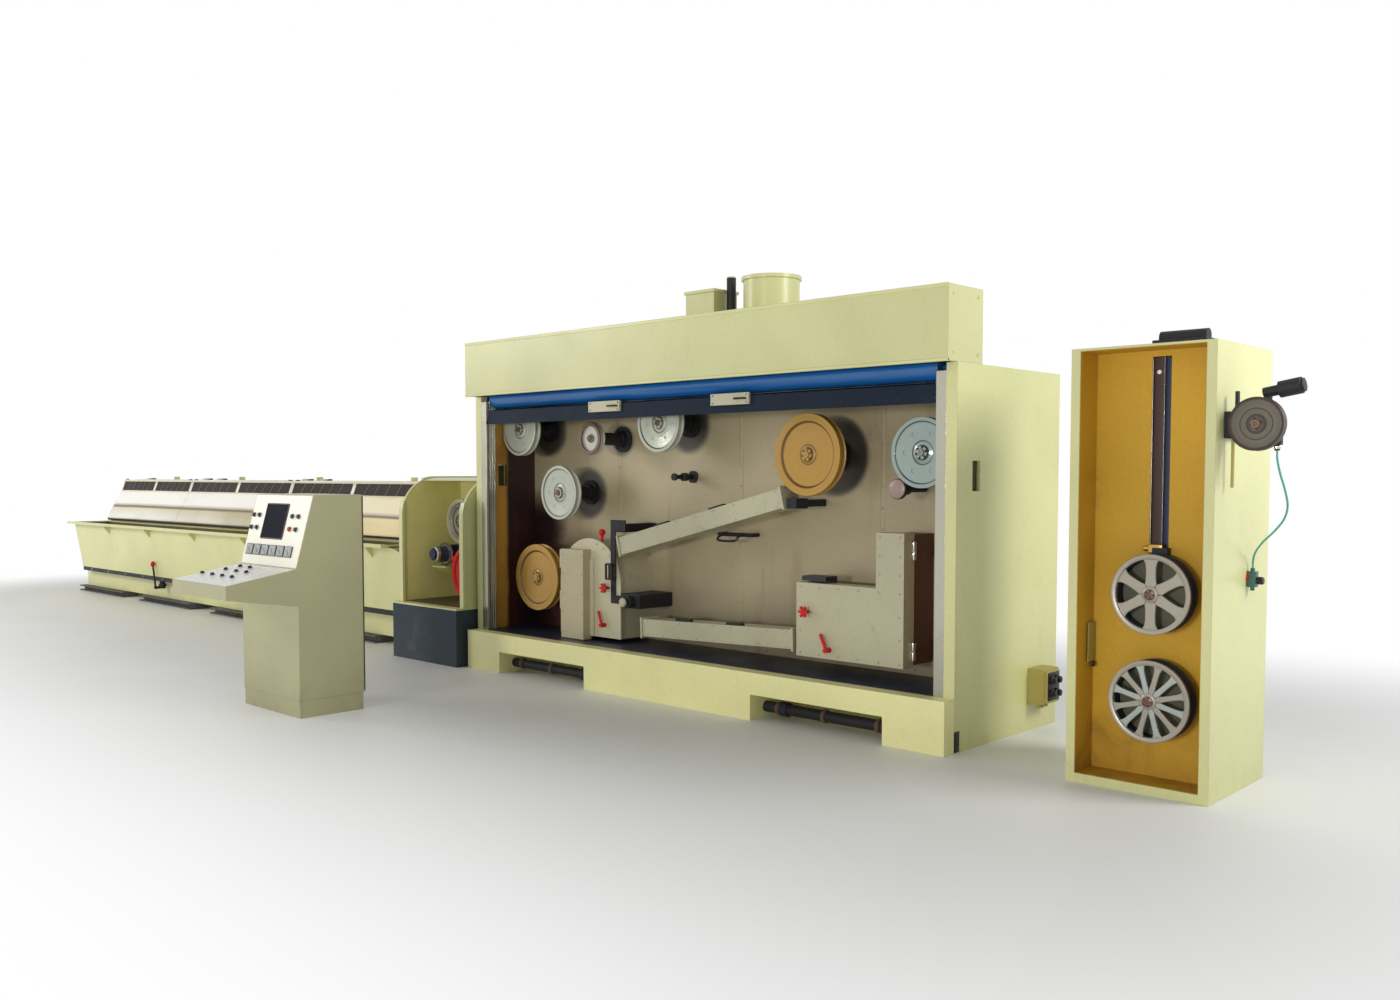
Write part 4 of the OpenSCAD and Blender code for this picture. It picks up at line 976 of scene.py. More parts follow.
TYRE_NAVY = Finish("tyre_navy", paint(38, 44, 60), 0.5, gloss=0.2, dirt=0.3)
HUB_BROWN = Finish("hub_brown", paint(110, 84, 70), 0.4, metal=0.4, dirt=0.3)
RAIL_BROWN = Finish("rail_brown", paint(66, 46, 42), 0.45, gloss=0.25, dirt=0.4)
# Painted reflection: the rail's right face is blue where the rod shows a blue highlight.
RAIL_BLUE_REFLECTION = Finish("rail_navy", paint(38, 46, 72), 0.4, gloss=0.25, dirt=0.3)
ORANGE_FACE = Finish("amber_face", paint(188, 144, 58), 0.42, metal=0.1, coat=0.1, dirt=0.2,
                     dirt_colour=paint(130, 88, 34))
WHITE_FACE = Finish("pale_face", paint(196, 200, 182), 0.34, metal=0.15, dirt=0.3,
                    dirt_colour=paint(134, 130, 116))
BLUE_FACE = Finish("blue_pale_face", paint(164, 180, 174), 0.26, metal=0.3, dirt=0.2,
                   dirt_colour=paint(110, 120, 116))
CAPSTAN_FACE = Finish("capstan_face", paint(176, 172, 158), 0.35, metal=0.3, dirt=0.3)


# The frame's own places

CORNER = np.array(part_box("annealer_plinth")[0])


def at(x: float, y: float, z: float) -> Point:
    """A place measured from the cabinet's left front foot."""
    return tuple(float(v) for v in CORNER + np.array((x, y, z)))


def many(places: Iterable[Sequence[float]]) -> Array:
    """Several places measured from the cabinet's left front foot."""
    return np.array(list(places), dtype=float) + CORNER


def around(centre: Point, radius: float, degrees: Array, axis: Axis = Axis.Y) -> Array:
    """Places on a circle, centre + (r cos a, r sin a) across an axis.

    Args:
        centre: its centre, from the cabinet's left front foot.
        radius: of the circle.
        degrees: the places' angles.
        axis: the axis that it lies square to.

    Returns:
        Rows of x, y and z in the frame.
    """
    a = np.radians(degrees)
    flat = np.stack([radius * np.cos(a), radius * np.sin(a)], axis=-1)
    return many(set_along(flat, 0.0, axis) + np.array(centre))


def span(node: str) -> tuple[Array, Array]:
    """A node's lowest and highest corners, from the cabinet's left front foot."""
    low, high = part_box(node)
    return np.array(low) - CORNER, np.array(high) - CORNER


# Studio


@dataclass
class Studio:
    """Camera, lamps and floor.

    The camera turns left of the line's depth by its yaw and looks down by its pitch, both in
    degrees. The floor fades to white past the line, whose middle lies at floor_x.
    """
    eye: Point = (7.874, -5.598, 1.55)
    yaw: float = 43.47
    pitch: float = 2.87
    focal: float = 30.55
    shift: float = 0.0241
    floor_size: float = 160.0
    floor_x: float = -3.7
    floor_half: float = 6.8
    fade: tuple[float, float] = (1.4, 5.2)
    fill: float = 0.40

    def build(self) -> None:
        """Builds the camera, the lamps, the world and the floor."""
        self.camera()
        self.world()
        self.lamp("key_lamp", (5.4, -17.0, 1.9), (1.8, 0.0, 1.0), (2.2, 1.4), 760.0, (1.0, 0.98, 0.93))
        self.lamp("left_lamp", (-9.0, -7.0, 5.0), (-6.8, 0.0, 0.8), (4.5, 3.0), 350.0, (1.0, 0.98, 0.94))
        self.lamp("right_lamp", (9.0, 1.5, 4.0), (4.4, 0.6, 2.0), (2.2, 2.2), 175.0, (0.97, 0.98, 1.0))
        self.floor()

    def camera(self) -> None:
        """Stands the camera at eye height and turns it left of the line's depth by its yaw."""
        data = bpy.data.cameras.new("camera")
        data.sensor_width = 36.0
        data.lens = self.focal
        data.shift_y = self.shift
        data.clip_end = 400.0
        view = bpy.data.objects.new("camera", data)
        a, p = math.radians(self.yaw), math.radians(self.pitch)
        ahead = Vector((-math.sin(a) * math.cos(p), math.cos(a) * math.cos(p), -math.sin(p)))
        view.location = at(*self.eye)
        view.rotation_euler = ahead.to_track_quat("-Z", "Y").to_euler()
        bpy.context.scene.collection.objects.link(view)
        bpy.context.scene.camera = view

    def lamp(self, name: str, spot: Point, aim: Point, size: tuple[float, float], power: float,
             colour: Colour) -> None:
        """Hangs a soft rectangular lamp.

        Args:
            name: its name.
            spot: where it hangs, from the cabinet's left front foot.
            aim: what it points at, from there too.
            size: its width and height.
            power: in watts.
            colour: of its light.
        """
        data = bpy.data.lights.new(name, "AREA")
        data.shape = "RECTANGLE"
        data.size, data.size_y = size
        data.energy = power
        data.color = colour
        lamp = bpy.data.objects.new(name, data)
        lamp.location = at(*spot)
        lamp.rotation_euler = (Vector(aim) - Vector(spot)).to_track_quat("-Z", "Y").to_euler()
        bpy.context.scene.collection.objects.link(lamp)

    def world(self) -> None:
        """White where the camera, gloss or glass looks past the object, and a soft fill elsewhere."""
        world = bpy.data.worlds.new("studio")
        world.use_nodes = True
        tree = world.node_tree
        tree.nodes.clear()
        out = tree.nodes.new("ShaderNodeOutputWorld")
        sky = tree.nodes.new("ShaderNodeBackground")
        sky.inputs[0].default_value = (0.93, 0.95, 1.0, 1)
        sky.inputs[1].default_value = self.fill
        white = tree.nodes.new("ShaderNodeBackground")
        white.inputs[0].default_value = (1, 1, 1, 1)
        rays = tree.nodes.new("ShaderNodeLightPath")
        mix = tree.nodes.new("ShaderNodeMixShader")
        seen = rays.outputs["Is Camera Ray"]
        for kind in ("Is Glossy Ray", "Is Transmission Ray"):
            most = tree.nodes.new("ShaderNodeMath")
            most.operation = "MAXIMUM"
            tree.links.new(seen, most.inputs[0])
            tree.links.new(rays.outputs[kind], most.inputs[1])
            seen = most.outputs[0]
        tree.links.new(seen, mix.inputs[0])
        tree.links.new(sky.outputs[0], mix.inputs[1])
        tree.links.new(white.outputs[0], mix.inputs[2])
        tree.links.new(mix.outputs[0], out.inputs["Surface"])
        bpy.context.scene.world = world

    def floor(self) -> None:
        """A pale floor that fades to white far from the line, so that no horizon shows.

        The distance that it fades by is sqrt(p^2 + y^2), with p 1.3 times what x lies past
        the line's ends.
        """
        half = self.floor_size / 2
        board = Board("studio_floor")
        x, y = board.axis(0), board.axis(1)
        past = board.math("MAXIMUM", board.math("ABSOLUTE", x - self.floor_x) - self.floor_half, 0.0) * 1.3
        away = board.math("SQRT", past * past + y * y)
        board.shader.inputs["Roughness"].default_value = 0.55
        shade = board.noise(0.5, 4.0).ramp(0.2, 0.8)
        board.colour(board.blend(shade, paint(226, 226, 222), paint(232, 232, 229)))
        glow = board.node("ShaderNodeEmission", None, {0: (1.0, 1.0, 1.0), 1: 1.0})
        mix = board.node("ShaderNodeMixShader", None, {
            0: away.ramp(*self.fade), 1: board.shader.outputs[0], 2: glow.outputs[0]})
        board.tree.links.new(mix.outputs[0], board.output.inputs["Surface"])
        mesh = bpy.data.meshes.new("floor")
        corners = [(-half, -half, 0), (half, -half, 0), (half, half, 0), (-half, half, 0)]
        mesh.from_pydata(corners, [], [(0, 1, 2, 3)])
        mesh.materials.append(board.made)
        plane = bpy.data.objects.new("floor", mesh)
        bpy.context.scene.collection.objects.link(plane)


# Wheels


# What a wheel's turned face takes over from its finish.
CARRIED = ("colour", "rough", "metal", "coat", "gloss", "dirt", "dirt_colour", "shade")


@dataclass
class Wheel:
    """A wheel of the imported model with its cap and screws, and its disc or rim where it has one.

    A disc is given by its inner radius, its outer radius and how far its back lies behind
    the wheel's front; a rim by its width.
    """
    node: str
    hub: float = 0.046
    screws: int = 6
    finish: Finish = ALLOY
    rings: float = 160.0
    rim: float = 0.0
    rim_finish: Finish = BARE_STEEL
    ring_depth: float = 0.35
    disc: tuple[float, float, float] | None = None
    disc_thick: float = 0.003
    shaded_grooves: tuple[tuple[float, float], ...] = ()
    cap: Finish = BARE_STEEL
    bolt: Finish = DARK

    def build(self) -> None:
        """Dresses the node and adds the pieces that ride on it."""
        low, high = span(self.node)
        x, z = (low[0] + high[0]) / 2, (low[2] + high[2]) / 2
        front = at(x, low[1], z)
        carried = {key: getattr(self.finish, key) for key in CARRIED}
        face = TurnedFinish(self.node + "_face", centre=at(x, 0, z), rings=self.rings,
                            ring_depth=self.ring_depth, shaded_grooves=self.shaded_grooves, **carried)
        face.dress(self.node)
        cap = turned([(0.0225, 0.004), (0.0225, -0.006), (0.020, -0.010), (0.009, -0.010), (0.007, -0.006)],
                     front, Axis.Y, 32)
        cap.piece(self.node + "_cap", self.cap, self.node)
        turns = np.arange(self.screws) * 360 / self.screws + 15
        ring = around((x, low[1], z), self.hub, turns)
        bolts(ring, Axis.Y, 0.0055, LOW_SIDE, ROUND_HEAD).piece(self.node + "_screws", self.bolt, self.node)
        if self.disc:
            inner, outer, back = self.disc
            face_y = back - self.disc_thick
            disc = turned([(inner, back), (inner, face_y), (outer, face_y), (outer, back)],
                          front, Axis.Y, 96, ring=True)
            disc.piece(self.node + "_disc", face, self.node)
        if self.rim:
            radius = (high[0] - low[0]) / 2
            inner, outer = radius - self.rim, radius - 0.0005
            hoop = turned([(inner, 0.003), (inner, -0.003), (radius - 0.002, -0.003), (outer, 0.0),
                           (outer, 0.006), (inner, 0.006)], front, Axis.Y, 96, ring=True)
            hoop.piece(self.node + "_rim", self.rim_finish, self.node)


# Annealer


@dataclass
class Cabinet:
    """The cream cabinet: plinth, walls, roof, header, stack and what is bolted to them."""
    lip: float = 0.006
    wall: float = 0.040
    setback: float = 0.100
    slot_y: tuple[float, float] = (0.2675, 0.3505)
    slot_z: tuple[float, float] = (1.4565, 1.6235)
    plate: float = 0.008
    notch: tuple[float, float] = (0.062, 0.116)
    rear_doors: int = 4
    handle_z: float = 1.15
    hinge_z: tuple[float, ...] = (0.45, 1.05, 1.65)
    hinge_h: float = 0.09
    stack_at: tuple[float, float] = (2.655, 0.610)
    stack_r: float = 0.190
    vent: Point = (2.290, 0.610, 2.195)
    couplings: tuple[float, ...] = (0.50, 0.86, 3.10, 3.46, 3.86)
    pipe_y: float = 0.16
    pipe_z: float = 0.07
    socket_y: tuple[float, float] = (0.99, 1.055)
    socket_z: tuple[float, float] = (0.235, 0.315)

    def build(self) -> None:
        """Dresses the nodes and adds folds, screws, hinges and the box's face."""
        CREAM.dress("annealer_side_walls", "annealer_rear_wall", "annealer_roof", "exhaust_stack")
        # Painted light on the plinth and painted shade on the header, through their own copies of the cream.
        CREAM_PAINTED_LIGHT.dress("annealer_plinth")
        CREAM_PAINTED_SHADE.dress("annealer_header")
        DARK.dress("drain_pipes")
        YELLOW_BOX.dress("junction_box")
        self.header()
        self.rear()
        self.stack()
        self.drains()
        self.box()
        self.openings()

    def openings(self) -> None:
        """Dark plates behind the side walls' handle slots and in their notches at the floor, as painted shade
        in those recesses.
        """
        low, high = span("annealer_side_walls")
        (y0, y1), (z0, z1) = self.slot_y, self.slot_z
        # Painted shade: dark plates fill the handle slots and the floor notches.
        dark = Shape()
        for x in (low[0] + 0.022, high[0] - 0.030):
            dark.join(block(at(x, y0, z0), at(x + self.plate, y1, z1), 0.002))
        dark.piece("slot_shade_plates", SHADE_OLIVE)
        deep, tall = self.notch
        feet = Shape()
        for x in (low[0] + 0.004, high[0] - self.wall + 0.004):
            feet.join(block(at(x, self.setback + 0.002, 0.002),
                            at(x + self.wall - 0.008, self.setback + deep, tall), 0.002))
        feet.piece("notch_shade_plates", BLACK)

    def header(self) -> None:
        """The header's folded lower lip, its upper fold, and the screws on its top and its right end."""
        low, high = span("annealer_header")
        lip = block(at(low[0], -self.lip, low[2] - 0.004), at(high[0], 0.012, low[2] + 0.014), 0.003)
        lip.join(block(at(low[0] + 0.002, -0.003, high[2] - 0.020),
                       at(high[0] - 0.002, 0.010, high[2] + 0.003), 0.003))
        lip.piece("header_lip", CREAM)
        top = many((x, high[1] - 0.05, high[2]) for x in spaced(low[0] + 0.12, high[0] - 0.12, 12))
        bolts(top, Axis.Z, 0.007, HIGH_SIDE).piece("header_screws", DARK)
        ends = many((high[0], y, z) for y in (0.05, 0.31) for z in (low[2] + 0.05, high[2] - 0.05))
        bolts(ends, Axis.X, 0.007, HIGH_SIDE).piece("header_end_screws", CREAM)

    def rear(self) -> None:
        """A lift handle at each side of each rear door, and three hinges down its left."""
        low, high = span("annealer_rear_wall")
        handles, hinges = Shape(), Shape()
        width = (high[0] - low[0]) / self.rear_doors
        half = [(0, 0, 0.07), (0, 0.035, 0.06)]
        bow = smooth_path([(x, y, -z) for x, y, z in half] + [(0, 0.042, 0)] + half[::-1], 4)
        for i in range(self.rear_doors):
            x = low[0] + (i + 0.5) * width
            for side in (-1, 1):
                spot = np.array(at(x + side * (width / 2 - 0.11), high[1] - 0.002, self.handle_z))
                handles.join(swept(bow + spot, circle(0.007, 10), up=(1, 0, 0)))
            pin = circle(0.011, 14) + np.array([x - width / 2 + 0.035, high[1] + 0.004])
            for z in self.hinge_z:
                hinges.join(drawn(pin, Axis.Z, z, z + self.hinge_h, 0.002, at(0, 0, 0)))
        handles.piece("rear_handles", BLACK)
        hinges.piece("rear_hinges", BARE_STEEL)

    def stack(self) -> None:
        """Clamp band round the exhaust stack, its flange bolts, and a sleeve on the thin vent pipe."""
        (x, y), z, r = self.stack_at, span("exhaust_stack")[0][2], self.stack_r
        band = collar(r + 0.001, r + 0.006, 0.04, 0.002, at(x, y, z + 0.33), Axis.Z, 96)
        band.piece("stack_band", BARE_STEEL)
        ring = around((x, y, z + 0.010), r + 0.027, np.arange(12) * 30, Axis.Z)
        bolts(ring, Axis.Z, 0.008, HIGH_SIDE).piece("stack_bolts", BARE_STEEL)
        collar(0.0302, 0.0325, 0.718, 0.002, at(*self.vent), Axis.Z, 40).piece("vent_sleeve", DARK)

    def drains(self) -> None:
        """Couplings along the drain pipe that shows in the plinth's pockets."""
        rings = Shape()
        for x in self.couplings:
            rings.join(collar(0.0352, 0.041, 0.028, 0.002, at(x, self.pipe_y, self.pipe_z), Axis.X, 32))
        rings.piece("drain_couplings", RUST)

    def box(self) -> None:
        """The socket box on the right wall: a black face with four round sockets."""
        right = span("junction_box")[1][0]
        face = block(at(right - 0.001, 0.955, 0.19), at(right + 0.006, 1.09, 0.36), 0.004)
        face.piece("socket_face", BLACK)
        plugs = Shape()
        profile = [(0.026, 0.0), (0.026, 0.012), (0.020, 0.016), (0.020, 0.030), (0.012, 0.034)]
        for y in self.socket_y:
            for z in self.socket_z:
                plugs.join(turned(profile, at(right + 0.005, y, z), Axis.X, 24))
        plugs.piece("sockets", BLACK)


@dataclass
class Shutter:
    """Rolled blue curtain, smoked band darkened with painted shade under the roll, and its two grip plates,
    in anodised guides.
    """
    wraps: int = 7
    axis_y: float = 0.20
    ends: tuple[float, float] = (0.145, 4.265)
    skin: float = 0.0022
    sag: float = 0.0010
    shaft_r: float = 0.018
    shaft_past: float = 0.105
    grips_x: tuple[float, float] = (1.53, 2.735)

    def build(self) -> None:
        """Replaces the plain roll by one with folds and a wound end, and dresses the rest."""
        Finish("guide_rail", paint(178, 176, 160), 0.3, metal=0.8, dirt=0.3).dress("shutter_guides")
        # Painted shade: the band is darkened as if under the roll.
        SHADED_BAND.dress("shutter_curtain")
        PALE_BOX.dress("shutter_handles")
        self.roll()
        self.grips()

    def roll(self) -> None:
        """The wound curtain: a drum whose radius is r - skin - |fold| - sag sin(pi u) - end.

        u runs from 0 to 1 along it, a round it. The fold is
        0.9 mm sin(9.4 x + 2.1 sin a) sin 3a + 0.5 mm sin(23 x + 5 a), and the end is 4 mm at
        the outermost rows. Thin raised hoops on both end faces show the wraps.
        """
        low, high = span("shutter_roll")
        y, z = self.axis_y, (low[2] + high[2]) / 2
        r = (high[2] - low[2]) / 2
        x0, x1 = self.ends
        x = np.concatenate([[x0, x0 + 0.004], np.linspace(x0 + 0.03, x1 - 0.03, 60), [x1 - 0.004, x1]])
        a = np.linspace(0, 2 * np.pi, 72, endpoint=False)
        xx, aa = np.meshgrid(x, a, indexing="ij")
        u = (xx - x0) / (x1 - x0)
        fold = 0.0009 * np.sin(9.4 * xx + 2.1 * np.sin(aa)) * np.sin(3 * aa)
        fold = fold + 0.0005 * np.sin(23 * xx + 5 * aa)
        end = np.where((u < 0.0005) | (u > 0.9995), 0.004, 0.0)
        radius = r - self.skin - np.abs(fold) - self.sag * np.sin(np.pi * u) - end
        points = np.stack([xx, y + radius * np.cos(aa), z + radius * np.sin(aa)], axis=-1) + CORNER
        n, m = len(x), len(a)
        roll = Shape().add(points, grid(n, m), [list(range(m))[::-1], [(n - 1) * m + k for k in range(m)]])
        for side, face in ((-1, x0), (1, x1)):
            for k in range(1, self.wraps):
                q = r - 0.006 - k * 0.008
                roll.join(turned([(q, 0), (q - 0.002, 0.0015 * side), (q - 0.004, 0)], at(face, y, z),
                                 Axis.X, 48, ring=True))
        shaft = turned([(self.shaft_r, 0.0), (self.shaft_r, x1 - x0 + 2 * self.shaft_past)],
                       at(x0 - self.shaft_past, y, z), Axis.X, 32)
        whole = roll.join(shaft).piece("blue_roll", BLUE_CLOTH)
        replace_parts(whole, "shutter_roll")

    def grips(self) -> None:
        """A bowed finger pull and four corner screws on each grip plate."""
        low, high = span("shutter_handles")
        y, z = low[1], (low[2] + high[2]) / 2
        pulls = Shape()
        screws = []
        for x in self.grips_x:
            path = smooth_path([(x + 0.05, y, z), (x + 0.055, y - 0.018, z), (x + 0.095, y - 0.022, z),
                                (x + 0.135, y - 0.018, z), (x + 0.14, y, z)], 4)
            pulls.join(swept(path + CORNER, circle(0.006, 10)))
            screws += [(x + s * 0.145, y, z + t * 0.024) for s in (-1, 1) for t in (-1, 1)]
        pulls.piece("grip_pulls", BLACK)
        bolts(many(screws), Axis.Y, 0.005, LOW_SIDE, ROUND_HEAD).piece("grip_screws", BARE_STEEL)


@dataclass(frozen=True)
class Tube:
    """One slanted steam tube: its two ends as (x, z) places and its height across."""
    start: tuple[float, float]
    end: tuple[float, float]
    height: float


@dataclass
class Chamber:
    """Back plate, liners, tubes, contact box, water seal and valves inside the cabinet."""
    front: float = 0.30
    step: float = 0.865
    cover_right: float = 1.157
    bar_right: float = 3.36
    joints_x: tuple[float, ...] = (1.12, 2.36, 3.55)
    tubes_at: tuple[Tube, ...] = (Tube((1.46, 1.02), (3.016, 1.401), 0.13),
                                  Tube((1.70, 0.445), (3.11, 0.492), 0.125))
    roller: Point = (3.860, 0.330, 1.462)
    handle: Point = (2.372, 0.594, 1.128)
    cover_x: tuple[float, float] = (0.90, 1.155)
    cover_top: float = 0.985
    arch: tuple[float, float, float] = (1.14, 0.73, 0.31)
    knob: Point = (1.595, 0.226, 0.625)
    hinge: tuple[float, float] = (3.952, 0.386)
    hinge_z: tuple[float, float] = (0.435, 1.04)

    def build(self) -> None:
        """Dresses the chamber's nodes and adds their small pieces."""
        LINER.dress("chamber_liners")
        PLATE.dress("chamber_back_plate")
        TRAY.dress("chamber_tray")
        DARK.dress("chamber_fittings", "contact_motor", "pulley_bearings")
        PALE_BOX.dress("steam_tubes", "water_seal_lid")
        RED.dress("valve_handles")
        x, y, _ = (float(v) for v in CORNER)
        cover = ((0.0, -1.0, 0.0, self.front - 0.001 + y), (-1.0, 0.0, 0.0, self.cover_right + x))
        PocketFinish("arch_enamel", paint(200, 194, 164), 0.45, dirt=0.5, dirt_colour=paint(110, 96, 74),
                     streak=0.2, planes=cover, inside=paint(178, 169, 138),
                     spread=1.1).dress("arch_contact_box")
        bar = ((0.0, 0.0, 1.0, -self.step - 0.0105), (-1.0, 0.0, 0.0, self.bar_right + x))
        PocketFinish("seal_brown", paint(92, 54, 40), 0.5, dirt=0.45, dirt_colour=paint(48, 32, 26),
                     planes=bar, inside=paint(30, 30, 34)).dress("water_seal_box")
        self.plate()
        self.tubes()
        self.roller_and_tray()
        self.contact_box()
        self.seal()

    def plate(self) -> None:
        """Raised joint strips on the back plate, with rows of dome screws on them and along its foot."""
        low, high = span("chamber_back_plate")
        y = low[1] - 0.0025
        strips, screws = Shape(), []
        for x in self.joints_x:
            strips.join(block(at(x - 0.018, y, low[2]), at(x + 0.018, low[1] + 0.001, high[2] - 0.02), 0.002))
            screws += [(x, y, z) for z in spaced(low[2] + 0.08, high[2] - 0.25, 12)]
        screws += [(x, low[1], low[2] + 0.03) for x in spaced(0.2, 4.2, 21)]
        strips.piece("plate_joints", PLATE)
        bolts(many(screws), Axis.Y, 0.0055, LOW_SIDE, ROUND_HEAD).piece("plate_screws", PLATE)

    def tubes(self) -> None:
        """Screws along both edges of each steam tube, and two clips on its upper edge.

        A place at length t is start + d t + n s, with d the unit vector from end to end and
        n square to it.
        """
        screws, clips = [], Shape()
        for tube in self.tubes_at:
            start = np.array(tube.start)
            run = np.array([tube.end[0] - tube.start[0], tube.end[1] - tube.start[1]])
            length = float(np.linalg.norm(run))
            d, n = run / length, np.array([-run[1], run[0]]) / length
            slope = -math.degrees(math.atan2(run[1], run[0]))
            for t in spaced(0.06, length - 0.06, 9):
                for side in (-1, 1):
                    x, z = start + d * t + n * side * (tube.height / 2 - 0.014)
                    screws.append((x, self.front, z))
            for share in (0.28, 0.62):
                x, z = start + d * length * share + n * (tube.height / 2)
                clip = block(at(x - 0.07, self.front + 0.02, z - 0.006),
                             at(x + 0.07, self.front + 0.06, z + 0.016), 0.004)
                clips.join(clip.turned_by(slope, Axis.Y, at(x, self.front, z)))
        bolts(many(screws), Axis.Y, 0.0045, LOW_SIDE, ROUND_HEAD).piece("tube_screws", PALE_BOX)
        clips.piece("tube_clips", DARK)

    def roller_and_tray(self) -> None:
        """The pink face of the guide roller, and the tray's bowed handle."""
        roller = turned([(0.012, -0.004), (0.050, 0.0), (0.058, 0.004), (0.058, 0.0095), (0.012, 0.0095)],
                        at(*self.roller), Axis.Y, 40)
        roller.piece("roller_face", PINK_ROLLER)
        x, y, z = self.handle
        path = smooth_path([(x - 0.085, y, z), (x - 0.085, y - 0.09, z - 0.005),
                            (x - 0.075, y - 0.125, z - 0.035), (x + 0.075, y - 0.125, z - 0.035),
                            (x + 0.085, y - 0.09, z - 0.005), (x + 0.085, y, z)], 5)
        swept(path + CORNER, circle(0.008, 12)).piece("tray_handle", DARK)

    def contact_box(self) -> None:
        """Screws down the tan cover and round the arch, and the pale knob of the contact motor."""
        y = span("arch_contact_box")[0][1]
        left, right = self.cover_x
        heights = spaced(0.36, self.cover_top - 0.04, 5)
        rows = many((x, y, z) for x in (left + 0.02, right - 0.02) for z in heights)
        bolts(rows, Axis.Y, 0.0055, LOW_SIDE, ROUND_HEAD).piece("cover_screws", PALE_BOX)
        x, z, radius = self.arch
        ring = around((x, self.front, z), radius, np.linspace(15, 75, 5))
        bolts(ring, Axis.Y, 0.006, LOW_SIDE, ROUND_HEAD).piece("arch_screws", PALE_BOX)
        knob = turned([(0.030, 0.0), (0.034, -0.006), (0.034, -0.016), (0.026, -0.024), (0.010, -0.026)],
                      at(*self.knob), Axis.Y, 32)
        knob.piece("motor_knob", PALE_BOX)

    def seal(self) -> None:
        """Screws round the stepped water seal box and two pairs of bright hinge barrels."""
        left, right, upper = 3.16, 3.91, 3.765
        rows = [(x, z) for x in spaced(left, right, 6) for z in (0.42, 0.84)]
        rows += [(x, 1.175) for x in (upper, right)] + [(upper, z) for z in (0.95, 1.06)]
        rows += [(right, z) for z in (0.56, 0.70, 0.95, 1.06)] + [(left, z) for z in (0.56, 0.70)]
        places = many((x, self.front, z) for x, z in rows)
        bolts(places, Axis.Y, 0.0055, LOW_SIDE, ROUND_HEAD).piece("seal_screws", PALE_BOX)
        barrels = Shape()
        for z in self.hinge_z:
            for start in (z, z + 0.06):
                barrels.join(turned([(0.0137, 0), (0.0145, 0.004), (0.0145, 0.046), (0.0137, 0.05)],
                                    at(*self.hinge, start), Axis.Z, 24))
        barrels.piece("seal_hinges", CHROME)


# Capstan stand


@dataclass
class CapstanStand:
    """Arched stand with its drive motor, take-up drum and draw-off capstan.

    inside_x, top and floor bound the pale inside of the arch.
    """
    inside_x: tuple[float, float] = (-0.926, -0.074)
    top: float = 1.496
    floor: float = 0.470
    motor_at: tuple[float, float] = (-0.745, 0.865)
    fins_y: tuple[float, float] = (0.335, 0.56)
    fins: int = 14
    flange_y: float = 0.2995
    nose_y: float = 0.187
    bolt_circle: float = 0.086
    knob: Point = (-0.60, 0.30, 0.83)

    def build(self) -> None:
        """Dresses the nodes and adds the motor's fins and flange, the knob, a floor plate and a conduit."""
        x, y, z = (float(v) for v in CORNER)
        within = ((1.0, 0.0, 0.0, -self.inside_x[0] - x), (-1.0, 0.0, 0.0, self.inside_x[1] + x),
                  (0.0, 1.0, 0.0, -y - 0.03), (0.0, 0.0, -1.0, self.top + z),
                  (0.0, 0.0, 1.0, 0.001 - self.floor - z))
        PocketFinish("stand_enamel", CREAM.colour, 0.40, coat=0.08, dirt=0.28, dirt_colour=CREAM.dirt_colour,
                     foot=0.1, planes=within, inside=paint(214, 208, 136), spread=1.12).dress("stand_housing")
        SLATE.dress("stand_base_block")
        MOTOR.dress("stand_drive")
        RED.dress("stand_drum")
        self.motor()
        self.red_knob()
        self.back()

    def motor(self) -> None:
        """Cooling fins as thin hoops round the motor, and a bright flange ring with its bolts."""
        x, z = self.motor_at
        fins = Shape()
        for y in spaced(*self.fins_y, self.fins):
            fins.join(collar(0.066, 0.078, 0.005, 0.001, at(x, y, z), Axis.Y))
        fins.piece("motor_fins", MOTOR)
        flange = turned([(0.070, 0.0), (0.097, 0.001), (0.0975, 0.018), (0.070, 0.019)],
                        at(x, self.flange_y, z), Axis.Y, 64, ring=True)
        flange.join(turned([(0.055, 0), (0.068, 0.003), (0.068, 0.03), (0.055, 0.034)],
                           at(x, self.nose_y, z), Axis.Y, 64, ring=True))
        flange.piece("motor_flange", ALLOY)
        ring = around((x, self.flange_y, z), self.bolt_circle, np.arange(6) * 60 + 30)
        bolts(ring, Axis.Y, 0.006).piece("motor_bolts", BARE_STEEL)

    def red_knob(self) -> None:
        """A round red knob on a stem that reaches the stand's back."""
        grip = turned([(0.010, 0), (0.022, -0.004), (0.026, -0.016), (0.020, -0.028), (0.008, -0.032)],
                      at(*self.knob), Axis.Y, 24)
        grip.join(turned([(0.008, 0.30), (0.008, -0.001)], at(*self.knob), Axis.Y, 16))
        grip.piece("stand_red_knob", RED)

    def back(self) -> None:
        """A dark olive plate on the arch's floor as painted shade, and the conduit from the small box to the
        motor.
        """
        low, _ = span("stand_housing")
        # Painted shade: a dark plate over the arch's floor.
        plate = block(at(low[0] + 0.05, 0.01, self.floor + 0.0002),
                      at(-0.079, 0.594, self.floor + 0.004), 0.002)
        plate.piece("stand_floor_shade", SHADE_OLIVE)
        path = smooth_path([(-0.85, 0.57, 1.082), (-0.85, 0.57, 1.04), (-0.83, 0.57, 1.0),
                            (-0.775, 0.56, 0.94)], 5)
        swept(path + CORNER, circle(0.008, 10), up=(1, 0, 0)).piece("stand_conduit", BLACK)


# Drawing machine


